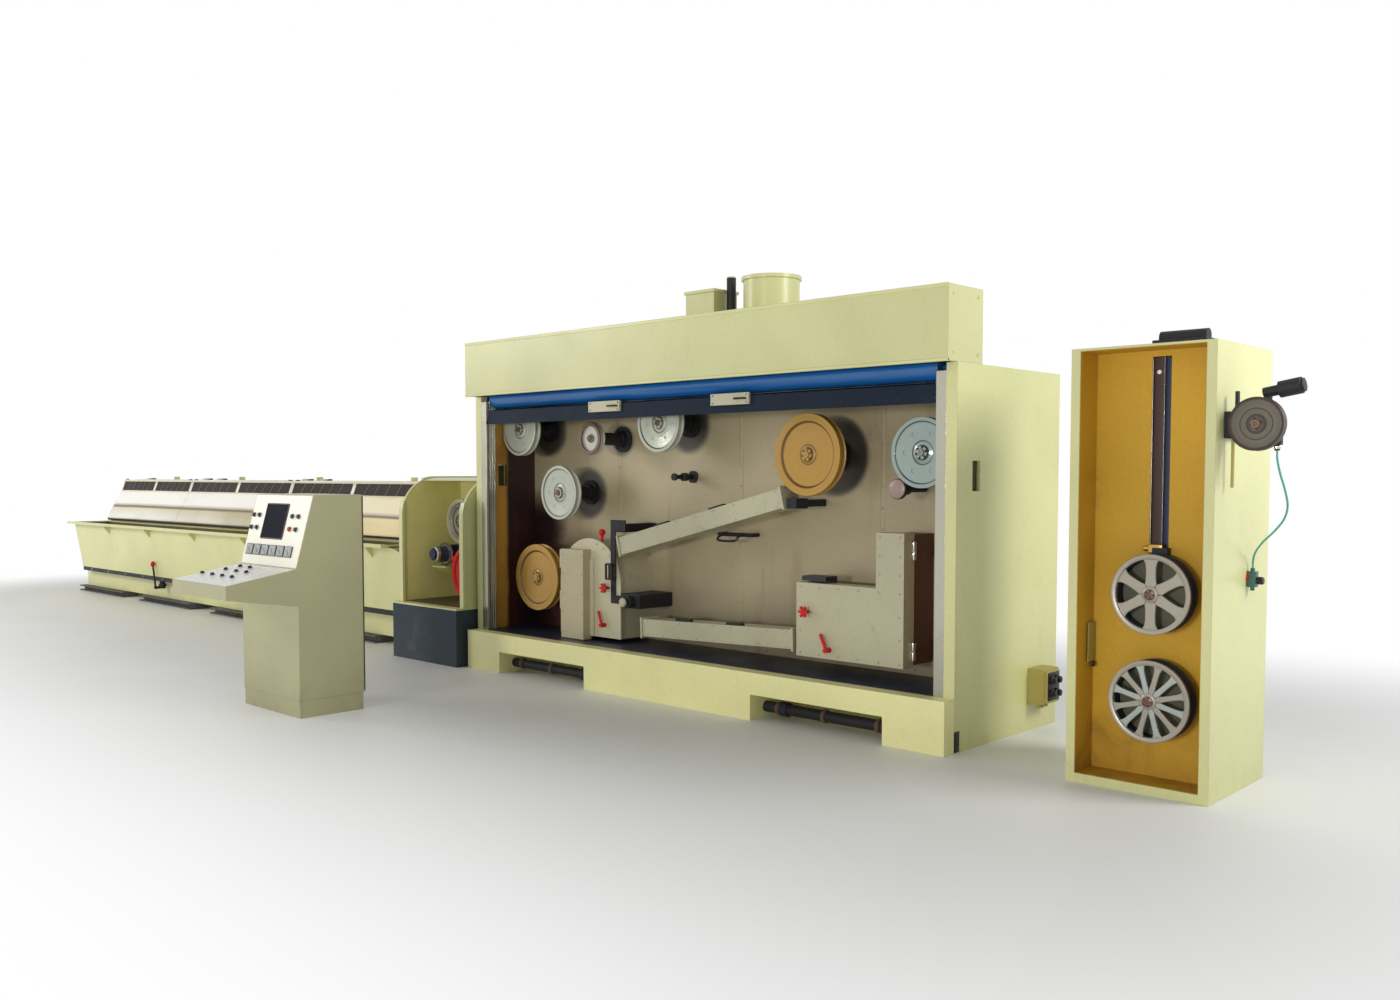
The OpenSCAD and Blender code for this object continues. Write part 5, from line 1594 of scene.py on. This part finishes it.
@dataclass
class DrawingMachine:
    """Bed, coolant tub, hood lids and the capstans beneath them.

    lid_foot and lid_head are the (y, z) ends of a lid's leaning front, and the bays are the
    windows of each lid from left to right.
    """
    bays: tuple[int, ...] = (2, 2, 2, 1)
    bars: int = 5
    slant: float = 0.05
    rib: float = 0.060
    lid_foot: tuple[float, float] = (0.7640, 1.3360)
    lid_head: tuple[float, float] = (0.8068, 1.4505)
    flare: float = 0.12
    tub_wall: float = 0.012
    bowl: tuple[float, float] = (0.344, 0.322)
    cover_count: int = 8
    cover_margin: float = 0.085
    lever_x: float = -6.49

    def build(self) -> None:
        """Dresses the nodes and adds the lids' trim, bolt rows, the tub's rim and the lever's grip."""
        CREAM.dress("machine_bed", "machine_walls", "gear_case")
        FOOT_GREY.dress("machine_feet")
        ALLOY.dress("capstan_row")
        DARK.dress("hood_brackets", "tub_rail")
        self.tub()
        for number, count in enumerate(self.bays, start=1):
            self.lid(number, count)
        self.rear()
        self.lever()

    def tub(self) -> None:
        """Oily olive inside, cream outside: the planes are the tub's walls, half a sheet in."""
        low, high = span("coolant_tub")
        z0, z1 = low[2], high[2] - 0.026
        x0, x1 = low[0] + 0.07, high[0] - 0.35
        half = self.tub_wall / 2
        lean = self.flare / (z1 - z0)
        front = 0.05 / (high[2] - z0)
        planes = [(0, 1, front, -(0.20 + half + front * z0)), (0, 0, -1, high[2] - 0.002),
                  (0, 0, 1, -z0 - half), (1, 0, lean, -(x0 + self.flare + half + lean * z0)),
                  (0, -1, 0, 0.594)]
        cx, cy, _ = (float(v) for v in CORNER)
        placed = tuple((nx, ny, nz, d - nx * cx - ny * cy) for nx, ny, nz, d in planes)
        wide, tall = self.bowl
        PocketFinish("tub_enamel", CREAM.colour, 0.40, coat=0.1, dirt=0.28, dirt_colour=CREAM.dirt_colour,
                     streak=0.22, foot=0.1, planes=placed,
                     bowl=(x1 + cx, z1 - 0.310, wide, tall)).dress("coolant_tub")
        y, z = low[1] + 0.006, high[2]
        rim = swept([at(x0 - 0.07, y, z), at(x1, y, z)], circle(0.007, 12))
        rim.piece("tub_rim_bead", CREAM)

    def leaning(self, start: float, end: float, thick: float, grow: float = 0.0) -> Shape:
        """A flat strip on a lid's front from x start to x end.

        Its corners are foot - grow d and head + grow d, and the same moved thick along the
        front's outward normal, with d the direction from foot to head.

        Args:
            start: its left end.
            end: its right end.
            thick: how far it stands out.
            grow: how far it passes the front's foot and head.

        Returns:
            The strip.
        """
        foot, head, d, out = self.front_of_lid()
        p, q = foot - d * grow, head + d * grow
        outline = np.stack([p, q, q + out * thick, p + out * thick])
        return drawn(outline, Axis.X, start, end, 0.0008, at(0, 0, 0))

    def front_of_lid(self) -> tuple[Array, Array, Array, Array]:
        """A lid's front in (y, z).

        Returns:
            Its foot, its head, the direction between them and the outward normal.
        """
        foot, head = np.array(self.lid_foot), np.array(self.lid_head)
        d = (head - foot) / np.linalg.norm(head - foot)
        return foot, head, d, np.array([-d[1], d[0]])

    def lid(self, number: int, count: int) -> None:
        """Window panes, slanted glazing bars, bright ribs, top rim, latches and seal of one lid.

        Args:
            number: the lid's number, from the left.
            count: how many windows it has.
        """
        node = f"hood_lid_{number}"
        LID.dress(node)
        low, high = span(node)
        x0, x1 = low[0], high[0]
        foot, head, _, out = self.front_of_lid()
        bay = (x1 - x0) / count
        panes, bars, ribs = Shape(), Shape(), Shape()
        for k in range(count):
            a, b = x0 + k * bay + self.rib / 2 + 0.002, x0 + (k + 1) * bay - self.rib / 2 - 0.002
            panes.join(self.leaning(a, b, 0.003))
            for x in spaced(a, b - self.slant, self.bars + 2)[1:-1]:
                ends = [at(x, *(foot + out * 0.004)), at(x + self.slant, *(head + out * 0.004))]
                bars.join(swept(ends, round_rect(0.008, 0.003, 0.001), up=(0.0, *out)))
        for k in range(count + 1):
            middle = x0 + k * bay
            a, b = max(middle - self.rib / 2, x0) + 0.001, min(middle + self.rib / 2, x1) - 0.001
            ribs.join(self.leaning(a, b, 0.0075, 0.004))
        panes.piece(f"lid_windows_{number}", WINDOW, node)
        bars.piece(f"lid_bars_{number}", LID_BAR, node)
        ribs.piece(f"lid_ribs_{number}", LID_RIB, node)
        rim = round_rect(0.016, 0.012, 0.004) + np.array([0.806, 1.470])
        drawn(rim, Axis.X, x0, x1, 0.002, at(0, 0, 0)).piece(f"lid_top_rim_{number}", LID_RIB, node)
        latches = Shape()
        for x in (x0 + 0.05, x1 - 0.11):
            latches.join(block(at(x, 0.800, 1.474), at(x + 0.06, 0.822, 1.488), 0.004))
        latches.piece(f"lid_latches_{number}", DARK, node)
        seal = round_rect(0.010, 0.024, 0.004) + np.array([0.5705, 0.945])
        strip = drawn(seal, Axis.X, x0 + 0.01, x1 - 0.01, 0.002, at(0, 0, 0))
        strip.piece(f"lid_seal_{number}", RUBBER, node)

    def rear(self) -> None:
        """Bolt rows round the gear case's rear covers and along its top."""
        low, high = span("gear_case")
        pitch = (high[0] - low[0]) / self.cover_count
        rows = []
        for i in range(self.cover_count):
            a = low[0] + i * pitch + self.cover_margin
            b = low[0] + (i + 1) * pitch - self.cover_margin
            rows += [(x, high[1], z) for x in spaced(a, b, 7) for z in (0.445, 1.315)]
            rows += [(x, high[1], z) for x in (a, b) for z in spaced(0.62, 1.14, 4)]
        bolts(many(rows), Axis.Y, 0.009, HIGH_SIDE).piece("rear_cover_bolts", BARE_STEEL)
        top = many((x, 1.13, 1.46) for x in spaced(low[0] + 0.2, high[0] - 0.2, 24))
        bolts(top, Axis.Z, 0.008, HIGH_SIDE).piece("case_top_bolts", BARE_STEEL)

    def lever(self) -> None:
        """Red grip on the lever, (24 mm sin a, 34 mm cos a) turned about z, and bolts along the rail."""
        low, high = span("tub_rail")
        a = np.linspace(0.02, math.pi - 0.02, 14)
        grip = turned(np.stack([0.024 * np.sin(a), 0.034 * np.cos(a)], axis=1),
                      at(self.lever_x - 0.0703, 0.158, 0.4814), Axis.Z, 24)
        grip.piece("drain_grip", RED)
        nuts = many((x, 0.204, 0.305) for x in spaced(low[0] + 0.3, high[0] - 0.3, 14))
        bolts(nuts, Axis.Y, 0.009).piece("rail_bolts", BARE_STEEL)


# Desk


@dataclass
class Desk:
    """Control desk: screen, buttons and meters on the steep face, grips on the shelf.

    Edges are (y, z) places, and s is a distance up a slope. The screen is x, s, width and
    height; the meters are the first one's x, their pitch, and each one's width and height.
    """
    left: float = 0.145
    width: float = 0.76
    face_low: tuple[float, float] = (-1.937, 0.951)
    face_high: tuple[float, float] = (-1.810, 1.417)
    shelf_low: tuple[float, float] = (-2.394, 0.873)
    screen: tuple[float, float, float, float] = (0.341, 0.301, 0.300, 0.242)
    buttons_x: tuple[float, ...] = (0.040, 0.116, 0.563, 0.643)
    buttons_s: tuple[float, ...] = (0.253, 0.338)
    red_button: tuple[int, int] = (0, 2)
    meter_count: int = 6
    meters_s: float = 0.105
    meter: tuple[float, float, float, float] = (0.089, 0.105, 0.092, 0.074)
    needle_turn: float = -42.0
    grips: tuple[tuple[float, float], ...] = (
        (0.056, 0.285), (0.214, 0.290), (0.360, 0.292), (0.499, 0.294), (0.134, 0.164), (0.311, 0.177),
        (0.449, 0.176), (0.150, 0.074), (0.297, 0.079))
    vents: int = 8

    def build(self) -> None:
        """Dresses the desk and sets its controls out on its two sloping faces."""
        DESK.dress("desk_body")
        # Painted shade: the rear door takes the dark brown of its gap.
        DESK_DARK_AND_GAP_SHADE.dress("desk_panels")
        KNOB_TEAL.dress("desk_controls")
        self.plates()
        shown = self.screen_and_buttons() + self.meters() + self.knobs()
        for thing in shown:
            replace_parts(thing, "desk_controls")
        self.rear()

    def on(self, shape: Shape, low: tuple[float, float], high: tuple[float, float], x: float,
           s: float) -> Shape:
        """Lays a shape made flat in x and z, front towards -y, on the slope from low to high.

        A point (u, v, w) goes to low + up (w + s) - out v in (y, z), and to x + u along x.

        Args:
            shape: built with its back at y 0 and its front towards -y.
            low: (y, z) of the slope's lower edge.
            high: (y, z) of its upper edge.
            x: distance from the desk's left side.
            s: distance up the slope.

        Returns:
            The same shape, in its place.
        """
        up = np.array([high[0] - low[0], high[1] - low[1]])
        up /= np.linalg.norm(up)
        p = np.concatenate(shape.points)
        out = np.array([-up[1], up[0]])
        y = low[0] + up[0] * (p[:, 2] + s) - out[0] * p[:, 1]
        z = low[1] + up[1] * (p[:, 2] + s) - out[1] * p[:, 1]
        shape.points = [np.stack([p[:, 0] + self.left + x, y, z], axis=1) + CORNER]
        return shape

    def face(self, shape: Shape, x: float, s: float) -> Shape:
        """Lays a shape on the steep face."""
        return self.on(shape, self.face_low, self.face_high, x, s)

    def shelf(self, shape: Shape, x: float, s: float) -> Shape:
        """Lays a shape on the shelf, s from its front edge."""
        return self.on(shape, self.shelf_low, self.face_low, x, s)

    def flat(self, width: float, height: float, radius: float, back: float, front: float,
             edge: float) -> Shape:
        """A plate with round corners, from y back to y front, ready to be laid on a slope."""
        return drawn(round_rect(width, height, radius), Axis.Y, back, front, edge)

    def plates(self) -> None:
        """Pale plates on the face and the shelf, with round corners and a fine edge; the shelf's whiter paint
        is its own pale colour with painted light on its top.
        """
        size = math.dist(self.face_high, self.face_low)
        reach = math.dist(self.face_low, self.shelf_low)
        plate = self.flat(self.width - 0.012, size - 0.012, 0.010, 0.001, -0.002, 0.0007)
        self.face(plate, self.width / 2, size / 2).piece("face_plate", DESK_FACE)
        plate = self.flat(self.width - 0.012, reach - 0.014, 0.010, 0.001, -0.002, 0.0007)
        # Painted light: the shelf plate is whiter than the face plate, as if lit from above.
        self.shelf(plate, self.width / 2, reach / 2).piece("shelf_plate_lit", WHITE)

    def screen_and_buttons(self) -> list[bpy.types.Object]:
        """Screen with its bezel, and two rows of round buttons, one of them red.

        Returns:
            The pieces that stand in for the desk's plain controls.
        """
        x, s, wide, tall = self.screen
        bezel = self.face(self.flat(wide, tall, 0.010, 0.0, -0.0065, 0.002), x, s)
        shown = [bezel.piece("screen_bezel", DESK_DARK_AND_GAP_SHADE)]
        glass = self.face(self.flat(wide - 0.016, tall - 0.016, 0.006, -0.004, -0.0078, 0.0008), x, s)
        glass.piece("screen_glass", SCREEN)
        rings, caps, reds = Shape(), Shape(), Shape()
        for i, s in enumerate(self.buttons_s):
            for k, x in enumerate(self.buttons_x):
                ring = turned([(0.018, -0.0005), (0.018, -0.005), (0.0145, -0.007)], (0, 0, 0), Axis.Y, 32)
                rings.join(self.face(ring, x, s))
                cap = turned([(0.0138, -0.0005), (0.0138, -0.016), (0.011, -0.0185)], (0, 0, 0), Axis.Y, 28)
                (reds if (i, k) == self.red_button else caps).join(self.face(cap, x, s))
        rings.piece("button_rings", BARE_STEEL)
        return shown + [caps.piece("button_caps", KNOB_TEAL), reds.piece("button_caps_red", RED)]

    def meters(self) -> list[bpy.types.Object]:
        """A row of meters, each a frame, a pale face and a slanted needle.

        Returns:
            The pieces that stand in for the desk's plain controls.
        """
        first, pitch, wide, tall = self.meter
        s = self.meters_s
        frames, faces, needles = Shape(), Shape(), Shape()
        for i in range(self.meter_count):
            x = first + pitch * i
            frames.join(self.face(self.flat(wide, tall, 0.005, 0.0, -0.009, 0.002), x, s))
            faces.join(self.face(self.flat(wide - 0.012, tall - 0.012, 0.004, -0.007, -0.0098, 0.0008), x, s))
            needle = self.flat(0.003, 0.050, 0.0008, -0.0095, -0.0108, 0.0003)
            needles.join(self.face(needle.turned_by(self.needle_turn, Axis.Y, (0, 0, 0)), x, s - 0.004))
        shown = [frames.piece("meter_frames", METER_EDGE)]
        faces.piece("meter_faces", METER_GREY)
        needles.piece("meter_needles", DARK)
        return shown

    def knobs(self) -> list[bpy.types.Object]:
        """Small round grips in bright collars on the shelf; each place's second number runs back to front.

        Returns:
            The pieces that stand in for the desk's plain controls.
        """
        collars, knobs = Shape(), Shape()
        depth = self.face_low[0] - self.shelf_low[0]
        reach = math.dist(self.face_low, self.shelf_low)
        for x, near in self.grips:
            s = (depth - near) * reach / depth
            foot = turned([(0.020, -0.0005), (0.020, -0.004), (0.013, -0.006)], (0, 0, 0), Axis.Y, 28)
            collars.join(self.shelf(foot, x, s))
            knob = turned([(0.0125, -0.0005), (0.0125, -0.013), (0.0105, -0.0175), (0.006, -0.0185)],
                          (0, 0, 0), Axis.Y, 28)
            knobs.join(self.shelf(knob, x, s))
        collars.piece("shelf_collars", BARE_STEEL)
        return [knobs.piece("shelf_grips", KNOB_TEAL)]

    def rear(self) -> None:
        """Latch and vent slots on the rear door."""
        low, high = span("desk_panels")
        latch = turned([(0.016, 0), (0.016, 0.006), (0.012, 0.009)],
                       at(high[0] - 0.05, high[1], 0.85), Axis.Y, 28)
        latch.piece("desk_latch", CHROME)
        slots = Shape()
        for k in range(self.vents):
            slots.join(drawn(round_rect(0.30, 0.010, 0.004), Axis.Y, high[1] - 0.001, high[1] + 0.005, 0.002,
                             at((low[0] + high[0]) / 2, 0, 0.35 + 0.03 * k)))
        slots.piece("desk_vents", DESK_DARK_AND_GAP_SHADE)


# Tower


@dataclass
class Tower:
    """Wire accumulator: recess, rail, two spoked wheels, side pulley, valve and hose."""
    axis_x: float = 5.525
    rail_x: float = 5.500
    rail_z: tuple[float, float] = (0.80, 2.125)
    rail_y: float = 0.195
    slot_w: float = 0.095
    right: float = 5.83
    wheel_front: float = 0.025
    hub_r: float = 0.036
    rim_w: float = 0.024
    side: tuple[float, float] = (5.978, 1.779)
    valve: tuple[float, float] = (0.460, 1.040)
    hose_drop: float = 0.122
    hose_radius: float = 0.005

    def build(self) -> None:
        """Dresses the nodes and builds the wheels, the rail's trim and the hose."""
        CREAM.dress("tower_housing")
        OCHRE_TOWER.dress("tower_liner")
        DARK.dress("tower_guide", "dancer_carriage", "side_bracket")
        TEAL.dress("air_valve")
        Wheel("side_pulley", hub=0.02, screws=4, finish=SIDE_BROWN, rings=70.0, ring_depth=0.3, cap=HUB_BROWN,
              shaded_grooves=((0.040, 0.010), (0.072, 0.004)), rim=0.010, rim_finish=RAIL_BROWN).build()
        self.wheel("dancer_wheel", 6, 0.024)
        self.wheel("lower_wheel", 12, 0.013)
        self.rail()
        self.recess()
        self.right_side()
        self.hose()

    def wheel(self, node: str, spokes: int, half: float) -> None:
        """A spoked wheel in place of the plain one: spokes, tyre, web, boss and its screws.

        Args:
            node: the wheel that it stands in for.
            spokes: how many spokes; past 8, every other one is a paler piece of its own.
            half: half a spoke's width at its middle.
        """
        low, high = span(node)
        radius = (high[0] - low[0]) / 2
        rim = radius - self.rim_w
        centre = (self.axis_x, self.wheel_front, (low[2] + high[2]) / 2)
        outline = self.spoke(rim, spokes, half)
        body, light = Shape(), Shape()
        inward = np.array(at(centre[0], centre[1] + 0.008, centre[2]))
        for i in range(spokes):
            turn = -(i + 0.5) * 360 / spokes
            spoke = drawn(outline, Axis.Y, 0.0, 0.016, 0.0025).turned_by(turn, Axis.Y, (0, 0, 0))
            spoke.points = [np.concatenate(spoke.points) + inward]
            (light if spokes > 8 and i % 2 else body).join(spoke)
        body.join(turned([(rim, 0.002), (radius - 0.020, -0.0005), (radius - 0.003, 0.0), (radius, 0.003),
                          (radius, 0.012), (radius - 0.008, 0.022), (rim, 0.026)],
                         at(*centre), Axis.Y, 96, ring=True))
        body.join(turned([(0.010, -0.001), (0.030, 0.0), (0.040, 0.006), (0.040, 0.030), (0.036, 0.034),
                          (0.036, 0.099)], at(*centre), Axis.Y, 48))
        tyre = turned([(radius - 0.010, 0.020), (radius - 0.001, 0.016), (radius - 0.001, 0.030),
                       (radius - 0.014, 0.044), (radius - 0.014, 0.066), (radius - 0.001, 0.080),
                       (radius - 0.001, 0.099), (rim, 0.099), (rim, 0.02)],
                      at(*centre), Axis.Y, 96, ring=True)
        tyre.join(turned([(0.0249, 0.098), (0.0249, 0.149)], at(*centre), Axis.Y, 32))
        web = turned([(0.030, 0.088), (rim + 0.001, 0.088), (rim + 0.001, 0.096), (0.030, 0.096)],
                     at(*centre), Axis.Y, 72, ring=True)
        for shape, part, finish in ((body, "_spokes", WHEEL_FACE), (tyre, "_tyre", TYRE_NAVY),
                                    (web, "_web", WEB_OLIVE)):
            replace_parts(shape.piece(node + part, finish, node), node)
        if light.count:
            light.piece(node + "_light_spokes", WHEEL_LIGHT, node)
        boss = turned([(0.027, 0.001), (0.027, -0.004), (0.022, -0.007), (0.011, -0.007), (0.009, -0.002)],
                      at(*centre), Axis.Y, 40)
        boss.piece(node + "_boss", HUB_BROWN, node)
        ring = around((centre[0], self.wheel_front - 0.006, centre[2]), 0.019, np.arange(5) * 72)
        bolts(ring, Axis.Y, 0.003, LOW_SIDE, 8).piece(node + "_boss_screws", DARK, node)

    def spoke(self, rim: float, spokes: int, half: float) -> Array:
        """A spoke's outline: at radius r its half width is half (1 + 0.55 e^-a + 0.9 e^-b).

        a is (r - hub) / 16 mm and b is (rim - r) / 14 mm, so it flares into both ends. The
        width is held under 0.98 of what lies between two neighbours' middles.

        Args:
            rim: the rim's inner radius.
            spokes: how many share the circle.
            half: half the width at the middle.

        Returns:
            (radius, offset) points round the outline.
        """
        r = np.linspace(self.hub_r, rim + 0.002, 22)
        w = half * (1 + 0.55 * np.exp(-(r - self.hub_r) / 0.016) + 0.9 * np.exp(-(rim - r) / 0.014))
        w = np.minimum(w, r * math.tan(math.pi / spokes) * 0.98)
        return np.concatenate([np.stack([r, -w], axis=1), np.stack([r[::-1], w[::-1]], axis=1)])

    def rail(self) -> None:
        """The rail's two dark faces, the right one blue as a painted reflection, three bright edge lines and
        the screw near its top.
        """
        x, (z0, z1) = self.rail_x, self.rail_z
        back, half = self.rail_y, self.slot_w / 2
        left = block(at(x - half + 0.003, back + 0.004, z0 + 0.002),
                     at(x + 0.012, back + 0.012, z1 - 0.002), 0.002)
        left.piece("rail_left_face", RAIL_BROWN)
        # Painted reflection: the blue of the right face.
        right = block(at(x + 0.0125, back + 0.006, z0 + 0.002),
                      at(x + half - 0.003, back + 0.016, z1 - 0.002), 0.002)
        right.piece("rail_right_face", RAIL_BLUE_REFLECTION)
        lines = Shape()
        for dx, width in ((-half - 0.002, 0.005), (half - 0.003, 0.005), (0.0105, 0.0025)):
            lines.join(block(at(x + dx, back - 0.006, z0 + 0.001),
                             at(x + dx + width, back + 0.010, z1 - 0.001), 0.001))
        lines.piece("rail_edges", BARE_STEEL)
        screw = turned([(0.011, 0.0), (0.011, -0.006), (0.008, -0.009)],
                       at(x - 0.017, back + 0.004, 2.05), Axis.Y, 20)
        screw.piece("rail_screw", WHITE)

    def recess(self) -> None:
        """Brass block on the carriage, and a knob and a catch on the recess's left wall."""
        x = self.rail_x
        brass = block(at(x - 0.040, 0.150, 1.164), at(x + 0.030, 0.1795, 1.206), 0.004)
        brass.join(collar(0.012, 0.014, 0.028, 0.002, at(x - 0.066, 0.164, 1.184), Axis.X, 20, ring=False))
        brass.piece("carriage_block", BRASS, "dancer_carriage")
        knob = turned([(0.012, 0.0), (0.016, 0.006), (0.014, 0.014)], at(5.180, 0.150, 0.585), Axis.X, 24)
        knob.piece("recess_knob", BLACK)
        catch = block(at(5.1795, 0.10, 0.60), at(5.184, 0.178, 0.80), 0.004)
        catch.piece("recess_catch", YELLOW_BOX)

    def right_side(self) -> None:
        """The wiper's rod, the bracket's bolts, the hose's nut, and the valve's flange and coil."""
        rod = block(at(5.8565, 0.118, 1.487), at(5.8695, 0.1335, 1.735), 0.004)
        rod.piece("wiper_rod", YELLOW_BOX)
        plate = many((5.854, y, z) for y in (0.115, 0.225) for z in (1.735, 1.823))
        bolts(plate, Axis.X, 0.008, HIGH_SIDE).piece("bracket_bolts", BARE_STEEL)
        nut = collar(0.0125, 0.0155, 0.015, 0.003, at(6.054, 0.135, 1.664), Axis.Z, 24, ring=False)
        nut.piece("hose_nut", CHROME)
        flange = turned([(0.0265, 0.0), (0.0275, 0.002), (0.0275, 0.009), (0.020, 0.011)],
                        at(5.8305, 0.46, 1.048), Axis.X, 28)
        flange.piece("valve_flange", RED)
        coil = turned([(0.0155, 0), (0.019, 0.002), (0.019, 0.026), (0.015, 0.030)],
                      at(5.874, 0.46, 1.032), Axis.X, 24)
        coil.piece("valve_coil", BLACK)

    def hose(self) -> None:
        """The teal hose: a round tube carried along the route's points."""
        x, z = self.side
        r, (vy, vz) = self.right, self.valve
        route = [(x + 0.076, 0.135, z - self.hose_drop), (x + 0.078, 0.137, z - 0.165),
                 (x + 0.088, 0.150, z - 0.230), (x + 0.098, 0.185, z - 0.300), (x + 0.096, 0.235, z - 0.375),
                 (x + 0.064, 0.290, z - 0.440), (x + 0.006, 0.340, z - 0.500), (x - 0.060, 0.390, z - 0.555),
                 (x - 0.108, 0.434, z - 0.610), (x - 0.125, 0.457, z - 0.655), (r + 0.022, vy, vz + 0.062),
                 (r + 0.022, vy, vz + 0.052)]
        path = smooth_path(route, 6) + CORNER
        tube = swept(path, circle(self.hose_radius, 16), up=(0, 1, 0)).piece("teal_hose", HOSE_TEAL)
        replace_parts(tube, "air_hose")


def wheels() -> None:
    """Dresses the chamber's pulleys and the draw-off capstan."""
    for node in ("contact_pulley_upper", "contact_pulley_lower"):
        Wheel(node, hub=0.034, screws=6, finish=ORANGE_FACE, rings=90.0, ring_depth=0.5, cap=ORANGE_FACE,
              bolt=HUB_BROWN, shaded_grooves=((0.206, 0.010), (0.062, 0.007), (0.044, 0.005))).build()
    guide = Wheel("guide_pulley_entry", hub=0.033, screws=6, finish=WHITE_FACE, rings=110.0,
                  disc=(0.071, 0.174, 0.0215), ring_depth=0.5, cap=HUB_BROWN,
                  shaded_grooves=((0.182, 0.006), (0.070, 0.006), (0.042, 0.006)), bolt=BARE_STEEL)
    for node in ("guide_pulley_entry", "guide_pulley_middle", "guide_pulley_left"):
        replace(guide, node=node).build()
    replace(guide, node="guide_pulley_exit", finish=BLUE_FACE, cap=BARE_STEEL, bolt=DARK,
            shaded_grooves=((0.182, 0.005), (0.070, 0.006), (0.042, 0.006))).build()
    Wheel("guide_pulley_small", hub=0.02, screws=4, finish=WHITE_FACE, rings=140.0, cap=HUB_BROWN,
          rim=0.028, rim_finish=HUB_BROWN, bolt=HUB_BROWN, shaded_grooves=((0.030, 0.006),)).build()
    Wheel("draw_capstan", hub=0.046, screws=8, finish=CAPSTAN_FACE, rings=90.0, rim=0.009,
          rim_finish=DISC_PALE, shaded_grooves=((0.124, 0.022), (0.050, 0.026))).build()


def main() -> None:
    """Builds the studio and the line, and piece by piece."""
    logging.basicConfig(level=logging.INFO, format="%(name)s %(message)s")
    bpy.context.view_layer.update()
    Studio().build()
    for part in (Cabinet(), Shutter(), Chamber(), CapstanStand(), DrawingMachine(), Desk(), Tower()):
        log.info("building %s", type(part).__name__)
        part.build()
    wheels()
    bpy.context.scene.view_settings.view_transform = "Standard"


if __name__ == "__main__":
    main()
